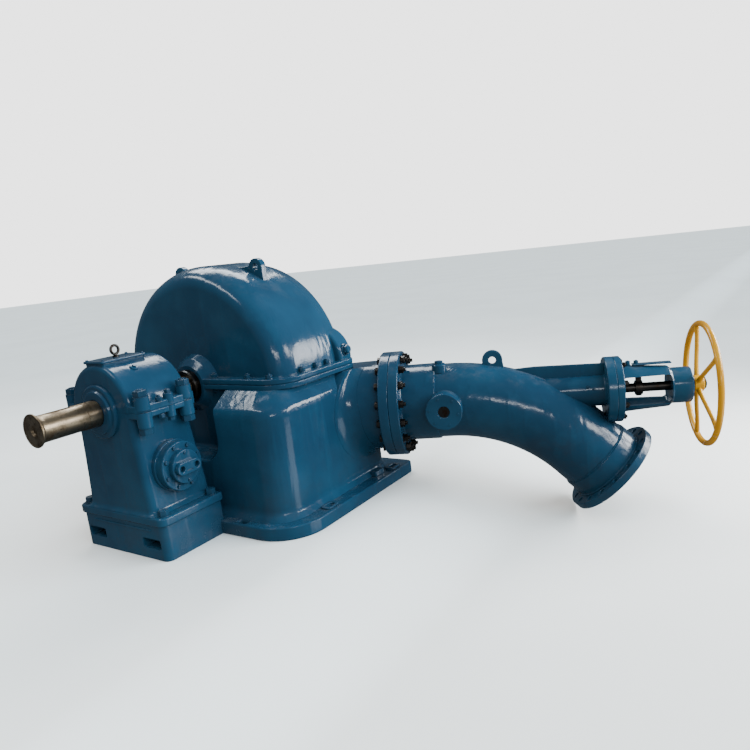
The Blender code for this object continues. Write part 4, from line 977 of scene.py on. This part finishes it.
def bead(points, radius, wobble=0.25, seed=1):
    """Weld bead along closed points: a thin bar whose radius wavers like stacked ripples."""
    rng = np.random.default_rng(seed)
    n = len(points)
    a = np.linspace(0.0, 2 * np.pi, n, endpoint=False)
    wave = sum(np.sin(a * k + rng.uniform(0, 6.3)) for k in (5, 11, 23)) / 3
    ripple = np.sin(a * n / 5.0)
    r = radius * (1 + wobble * wave + 0.12 * ripple)
    tangent = np.roll(points, -1, 0) - np.roll(points, 1, 0)
    tangent /= np.linalg.norm(tangent, axis=1)[:, None]
    centre = points.mean(0)
    out = points - centre
    out -= (out * tangent).sum(1)[:, None] * tangent
    out /= np.linalg.norm(out, axis=1)[:, None]
    side = np.cross(tangent, out)
    t = np.linspace(0.0, 2 * np.pi, 8, endpoint=False)
    ring = np.cos(t)[None, :, None] * out[:, None, :] + np.sin(t)[None, :, None] * side[:, None, :]
    return surface(points[:, None, :] + r[:, None, None] * ring, True)


def build_weld_beads():
    """Cuff on the pipe's end, and the weld beads of spool to bend and bend to inlet flange."""
    a = np.linspace(0.0, 2 * np.pi, 260, endpoint=False)
    cuff = soften([(0.1638, -0.078), (0.1700, -0.074), (0.1700, -0.0003), (0.1638, -0.0003)],
        (0, 0.002, 0.001, 0), 3, True)
    paint(as_object("pipe_end_cuff", turned(cuff, INLET, 112, True)))
    shapes = []
    for seed, (base, r, z, thick) in enumerate(((JET, 0.1655, 0.2365, 0.0042),
        (INLET, 0.1705, -0.0025, 0.0045), (INLET, 0.1645, -0.079, 0.0035)), 2):
        shapes.append(bead(placed(base, r * np.cos(a), r * np.sin(a), z + 0 * a), thick, seed=seed))
    paint(as_object("pipe_weld_beads", together(*shapes)))


def build_inlet_flange():
    """Inlet flange with its bore and 16 bolt holes."""
    holes = [circle(PIPE_BORE, 96)] + [circle(0.0125, 22, c) for c in ring_of(16, 0.194)]
    flange = plate(circle(0.220, 120), 0.0003, 0.034, 0.003, INLET, holes)
    casting("inlet_flange", flange)


def build_side_port():
    """Blanked side port: thick stub, cover disc with its screws and a dished centre plug."""
    stub = soften([(0.0765, 0.120), (0.0765, 0.218), (0.045, 0.218), (0.045, 0.120)],
        (0, 0.003, 0, 0), 4, True)
    stub = as_object("side_port_body", turned(stub, PORT, 80, True))
    path = pipe_centre()
    cut(stub, bar(np.concatenate(([on_jet(-0.1)], path)), PIPE_BORE + 0.0005, ASIDE, 96))
    paint(stub, "side_port")
    cover = soften([(0.0770, 0.2183), (0.0770, 0.2315), (0.026, 0.2315), (0.024, 0.2262),
        (0.010, 0.2262)],
        (0, 0.004, 0.0015, 0.002, 0), 4)
    shapes = [turned(cover, PORT, 80)]
    for number, p in enumerate(ring_of(6, 0.0600, 0.35)):
        shapes.append(hex_head(PORT, p, 0.0095, 0.2310, 0.2336, 0.0006, number))
    casting("side_port_cover", together(*shapes))
    recess = lathe([(0.0235, 0.2263), (0.0235, 0.2272), (0.004, 0.2275)], (0, 0, 0), 2, PORT, 48)
    dress(as_object("side_port_plug", recess), BLACK)


def build_vent_boss():
    """Vent boss on top of the nozzle with its hexagon plug."""
    base = local_frame(on_jet(0.256, 0.0, 0.060), ALONG, -DOWN)
    boss = lathe([(0.031, 0.140), (0.031, 0.172), (0.026, 0.178)], (0, 0.002, 0), 3, base, 40)
    plug = hex_head(base, (0, 0), 0.032, 0.176, 0.190, 0.0015, 0.3)
    body = as_object("vent_boss_body", together(boss, plug))
    paint(body, "vent_boss")


def build_elbow_lug():
    """Lifting eye on the bend: a plate with a round head."""
    a = np.radians(np.linspace(-8.0, 188.0, 30))
    head = np.stack((0.485 + 0.044 * np.cos(a), 0.165 + 0.044 * np.sin(a)), -1)
    outline = np.concatenate(([(0.535, 0.115)], head, [(0.434, 0.115)]))
    lug = as_object("elbow_lug_body", plate(outline, -0.011, 0.011, 0.003, UPRIGHT,
        [circle(0.016, 32, (0.485, 0.165))]))
    cut(lug, bar(pipe_centre(), PIPE_BORE + 0.008, ASIDE, 96))
    paint(lug, "elbow_lug")


def build_needle_tube():
    """Guide tube of the needle rod with its flange and two screws."""
    line = soften([(0.052, 0.40), (0.068, 0.40), (0.068, 0.947), (0.140, 0.947),
        (0.140, 0.984), (0.052, 0.984)],
        (0, 0, 0.008, 0.004, 0.003, 0), 5, True)
    tube = as_object("needle_tube_body", turned(line, JET, 96, True))
    cut(tube, bar(extended_pipe(), PIPE_R - 0.002, ASIDE, 96))
    paint(tube, "needle_tube")
    places = [(0.874 + 0.022 * i, 0.030 - 0.012 * i) for i in (0, 1)]
    screws = [hex_head(UPRIGHT, p, 0.011, 0.0585, 0.0665, 0.0008, 0.4 * i)
        for i, p in enumerate(places)]
    paint(as_object("tube_screws", together(*screws)), coat=BOLT_ENAMEL)


def extended_pipe():
    """Centre line of the bend with its tail run on past the inlet."""
    path = pipe_centre()
    return np.concatenate(([on_jet(0.18)], path, [path[-1] + 0.10 * INTO]))


def build_tube_rib():
    """Rib above the tube, cut to the bend."""
    outline = soften([(0.40, 0.000), (0.9467, 0.000), (0.9467, 0.116), (0.66, 0.122), (0.40, 0.110)],
        0.0, 1, True)
    rib = as_object("tube_rib_body", plate(outline, -0.007, 0.007, 0.0015, UPRIGHT))
    cut(rib, rod(0.0683, 1.2, 0.30, JET, 96), bar(extended_pipe(), PIPE_R - 0.002, ASIDE, 96))
    paint(rib, "tube_rib")


def build_yoke():
    """Yoke: flange, conical arms left by a window on each side, and the hub."""
    line = soften([(0.022, 0.9843), (0.140, 0.9843), (0.140, 1.012), (0.100, 1.012),
        (0.086, 1.200), (0.075, 1.212), (0.075, 1.289), (0.022, 1.289),
        (0.022, 1.210), (0.072, 1.208), (0.084, 1.012), (0.022, 1.008)],
        (0, 0.003, 0.004, 0.010, 0.010, 0.006, 0.006, 0, 0, 0.012, 0.012, 0), 6, True)
    yoke = as_object("yoke_body", turned(line, JET, 96, True))
    window = plate(oblong(-0.060, 0.060, 1.0135, 1.207, 0.014, 6), -0.20, 0.20, 0.0, SIDE_ON, (), 1)
    cut(yoke, window)
    paint(yoke, "yoke")
    shapes = []
    for number, (x, y) in enumerate(ring_of(8, 0.120, np.pi / 8)):
        shapes.append(bolt(JET, (x, y), 0.022, 1.012, 1.026, 0.005, 0.6 * number))
    paint(as_object("yoke_flange_bolts", together(*shapes)), coat=BOLT_DARK)


def build_travel_scale():
    """Blank travel scale above the upper arm, with its two bolts."""
    top = local_frame(on_jet(0.0), ALONG, -DOWN)
    shapes = [plate(oblong(1.062, 1.215, -0.020, 0.020, 0.004, 3), 0.098, 0.103, 0.0012, top)]
    for s in (1.045, 1.078):
        shapes.append(bolt(top, (s, 0.0), 0.019, 0.097, 0.116, 0.003, 0.3))
    paint(as_object("travel_scale", together(*shapes)))


# Needle gear

def build_spindle():
    """Spindle, rod and needle as one turned piece."""
    line = soften([(0.001, 1.352), (0.013, 1.352), (0.0155, 1.3495), (0.0155, 1.222),
        (0.0195, 1.212), (0.0195, 0.950), (0.020, 0.940), (0.020, -0.180),
        (0.052, -0.255), (0.056, -0.280), (0.050, -0.310), (0.026, -0.370), (0.003, -0.4125)],
        (0, 0, 0, 0, 0, 0, 0, 0.05, 0.05, 0.05, 0.05, 0.03, 0), 6)
    dress(as_object("spear_rod_body", turned(line, JET, 56)), BLACK, "needle",
        instead_of=("spear_rod",))


def build_pointer():
    """Clamp on the spindle with its pointer finger."""
    finger = plate(oblong(-0.052, 0.034, 1.075, 1.097, 0.003, 3), -0.011, 0.011, 0.0015, SIDE_ON)
    clamp = as_object("spindle_pointer_body", finger)
    fuse(clamp, lathe([(0.030, 1.072), (0.030, 1.100)], 0.0, 6, JET, 48))
    cut(clamp, rod(0.0198, 1.2, 1.0, JET, 56))
    dress(clamp, BLACK, "needle", instead_of=("spindle_pointer",))


WHEEL_R = 0.2495
WHEEL_STATION = 1.336
HUB_R = 0.024
HUB_STATION = 1.318
SPINDLE_BORE = 0.0163


def build_handwheel():
    """Handwheel: round rim, five bowed spokes that widen at both ends, hub, collar and lock nut."""
    a = np.linspace(0.0, 2 * np.pi, 144, endpoint=False)
    rim = bar(placed(JET, WHEEL_R * np.cos(a), WHEEL_R * np.sin(a), WHEEL_STATION + 0 * a), 0.0124,
        ALONG, 24, True)
    shapes = [rim]
    t = np.linspace(0.0, 1.0, 24)
    for i in range(5):
        turn = np.radians(18.0 + 72.0 * i)
        r = HUB_R + t * (WHEEL_R - HUB_R)
        s = HUB_STATION + (WHEEL_STATION - HUB_STATION) * (t * t * (3 - 2 * t))
        path = placed(JET, r * np.cos(turn), r * np.sin(turn), s)
        thick = 0.0086 + 0.0028 * (2 * t - 1) ** 4
        across = placed(JET, -np.sin(turn), np.cos(turn), 0.0) - JET[:3, 3]
        shapes.append(bar(path, thick, across, 20, False, 1.12))
    hub = soften([(SPINDLE_BORE, 1.300), (0.037, 1.300), (0.034, 1.336), (0.028, 1.341),
        (SPINDLE_BORE, 1.341)],
        (0, 0.003, 0.004, 0.002, 0), 4, True)
    shapes.append(turned(hub, JET, 56, True))
    wheel = as_object("handwheel_body", shapes[0])
    fuse(wheel, *shapes[1:-1])
    fuse(wheel, rod(0.034, 1.301, 1.334, JET, 56))
    fuse(wheel, shapes[-1])
    cut(wheel, rod(SPINDLE_BORE, 1.40, 1.25, JET, 56))
    dress(wheel, OCHRE, "wheel", 40.0, ("handwheel",))
    collar = soften([(SPINDLE_BORE, 1.2893), (0.044, 1.2893), (0.044, 1.2960), (0.040, 1.2997),
        (SPINDLE_BORE, 1.2997)],
        (0, 0.001, 0.001, 0.001, 0), 3, True)
    dress(as_object("wheel_collar_body", turned(collar, JET, 56, True)), BLACK, "wheel",
        instead_of=("wheel_collar",))
    ring = soften([(SPINDLE_BORE, 1.3412), (0.0255, 1.3412), (0.0255, 1.3480), (SPINDLE_BORE, 1.3480)],
        (0, 0.001, 0.001, 0), 3, True)
    dress(as_object("wheel_lock_nut", turned(ring, JET, 6, True)), BLACK, "wheel")


# Stage

def build_floor():
    """Pale floor that dips by the cosine curve beside the casing, where the inlet hangs lower."""
    far, near, start, end, width, drop = 60.0, 8.0, 0.67, 1.27, 0.60, 0.150
    x = np.concatenate(([-far, -near, 0.66], np.linspace(start, end, 40), [1.28, near, far]))
    fall = np.clip((x - start) / width, 0.0, 1.0)
    z = -drop * (0.5 - 0.5 * np.cos(np.pi * fall))
    y = np.array([-far, -near, near, far])
    grid = np.stack(np.broadcast_arrays(x[:, None], y[None, :], z[:, None]), -1)
    mesh = bpy.data.meshes.new("floor")
    mesh.from_pydata(grid.reshape(-1, 3).tolist(), [], grid_faces(len(x), 4, False, False))
    floor = bpy.data.objects.new("floor", mesh)
    bpy.context.scene.collection.objects.link(floor)
    floor.data.materials.append(FLOOR)
    floor.data.shade_smooth()
    # Its bright paint isn't thrown back onto the model, where it would wash out the undersides
    floor.visible_diffuse = False
    floor.visible_glossy = False
    floor.visible_shadow = False


def soft_light(name, place, aim, size, power, colour=(1.0, 1.0, 1.0)):
    """Rectangular area light that looks at a point."""
    data = bpy.data.lights.new(name, "AREA")
    data.shape = "RECTANGLE"
    data.size, data.size_y = size
    data.energy = power
    data.color = colour
    light = bpy.data.objects.new(name, data)
    light.visible_camera = False
    bpy.context.scene.collection.objects.link(light)
    away = np.array(place, float) - np.array(aim, float)
    away /= np.linalg.norm(away)
    side = np.cross((0.0, 0.0, 1.0), away)
    side /= np.linalg.norm(side)
    m = local_frame(place, side, away)
    light.matrix_world = Matrix(m.tolist())


def build_daylight():
    """Broad daylight from the nozzle side. It shades the model but isn't mirrored in the enamel."""
    data = bpy.data.lights.new("daylight", "SUN")
    data.energy = 5.2
    data.angle = np.radians(80.0)
    data.color = (0.58, 0.82, 1.0)
    light = bpy.data.objects.new("daylight", data)
    light.visible_glossy = False
    bpy.context.scene.collection.objects.link(light)
    away = np.array((0.74, 0.12, 0.66))
    away /= np.linalg.norm(away)
    side = np.cross((0.0, 0.0, 1.0), away)
    side /= np.linalg.norm(side)
    light.matrix_world = Matrix(local_frame((4.0, 0.5, 4.0), side, away).tolist())


def build_light():
    """Daylight, and the windows, skylight, strip and lit ground that draw the highlights."""
    build_daylight()
    soft_light("window_rear", (3.1, 2.3, 1.2), (0.45, 0.3, 0.66), (2.0, 0.85), 110.0, (0.95, 0.98, 1.0))
    soft_light("window_near", (3.5, -2.3, 1.75), (1.2, 0.76, 0.37), (1.4, 0.24), 22.0)
    soft_light("window_far", (5.2, 1.1, 2.2), (1.5, 0.9, 0.2), (1.1, 0.7), 45.0)
    soft_light("skylight", (-1.6, 2.2, 3.7), (0.1, 0.3, 0.9), (2.8, 1.3), 130.0, (0.92, 0.97, 1.0))
    soft_light("strip_above", (-0.95, -0.75, 3.05), (0.0, 0.3, 0.9), (3.0, 0.26), 34.0,
        (0.92, 0.97, 1.0))
    # Lit ground that the upright walls and corners mirror
    soft_light("ground_glow", (3.4, 0.95, -0.70), (0.56, 0.1, 0.3), (1.6, 1.0), 12.0, (0.85, 0.95, 1.0))
    world = bpy.data.worlds.new("studio")
    bpy.context.scene.world = world
    world.use_nodes = True
    tree = world.node_tree
    seen = add(tree, "ShaderNodeLightPath")
    dim = tree.nodes["Background"]
    dim.inputs[0].default_value = (0.80, 0.90, 1.0, 1.0)
    dim.inputs[1].default_value = 0.12
    # The surroundings fill the shadows but stay dark in the gloss
    fill = add(tree, "ShaderNodeBackground", {0: (1.0, 0.98, 0.94, 1.0), 1: 0.74})
    white = add(tree, "ShaderNodeBackground", {0: (1.0, 1.0, 1.0, 1.0), 1: 3.0})
    soft = add(tree, "ShaderNodeMixShader", {}, {0: seen.outputs["Is Diffuse Ray"], 1: dim.outputs[0],
        2: fill.outputs[0]})
    both = add(tree, "ShaderNodeMixShader", {}, {0: seen.outputs["Is Camera Ray"], 1: soft.outputs[0],
        2: white.outputs[0]})
    tree.links.new(both.outputs[0], tree.nodes["World Output"].inputs[0])


def build_camera():
    """Camera at the photograph's place: yaw 34.6, pitch 12.3 and roll -6.4 degrees."""
    yaw, pitch, roll = np.radians((34.635, 12.329, -6.4465))
    level = np.array((-np.sin(yaw), np.cos(yaw), 0.0))
    ahead = level * np.cos(pitch) - np.array((0.0, 0.0, np.sin(pitch)))
    right = np.array((np.cos(yaw), np.sin(yaw), 0.0))
    up = np.cross(right, ahead)
    side = right * np.cos(roll) + up * np.sin(roll)
    # Focal length and principal point in pixels of a frame 750 pixels wide
    focal, centre_x, centre_y, pixels = 654.56, 371.66, 398.73, 750
    data = bpy.data.cameras.new("camera")
    data.sensor_width = 36.0
    data.lens = 36.0 * focal / pixels
    data.shift_x = -(centre_x - pixels / 2) / pixels
    data.shift_y = (centre_y - pixels / 2) / pixels
    data.clip_start = 0.05
    camera = bpy.data.objects.new("camera", data)
    bpy.context.scene.collection.objects.link(camera)
    place = (2.2394, -2.2391 + WHEEL_Y, 1.0455)
    camera.matrix_world = Matrix(local_frame(place, side, -ahead).tolist())
    bpy.context.scene.camera = camera


build_camera()
build_light()
build_floor()
build_base_plate()
build_casing()
build_neck()
build_hood()
build_hood_lug("hood_lug_left", -1, -0.230)
build_hood_lug("hood_lug_right", 1, 0.247)
build_hood_bolts()
build_deflector_gland()
build_slot_rims()
build_shaft()
build_shaft_seal()
build_pedestal_base()
build_pedestal_housing()
build_bearing_cap()
build_cap_bolts()
build_cap_cover()
build_eyebolt()
build_bearing_seals()
build_cooler()
build_foot_bolts()
build_spool()
build_elbow()
build_weld_beads()
build_inlet_flange()
build_side_port()
build_vent_boss()
build_elbow_lug()
build_needle_tube()
build_tube_rib()
build_yoke()
build_travel_scale()
build_spindle()
build_pointer()
build_handwheel()

for name, metal in (("runner", BRONZE), ("jet_nozzle", SEAL_STEEL)):
    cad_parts[name].data.materials.clear()
    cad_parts[name].data.materials.append(metal)
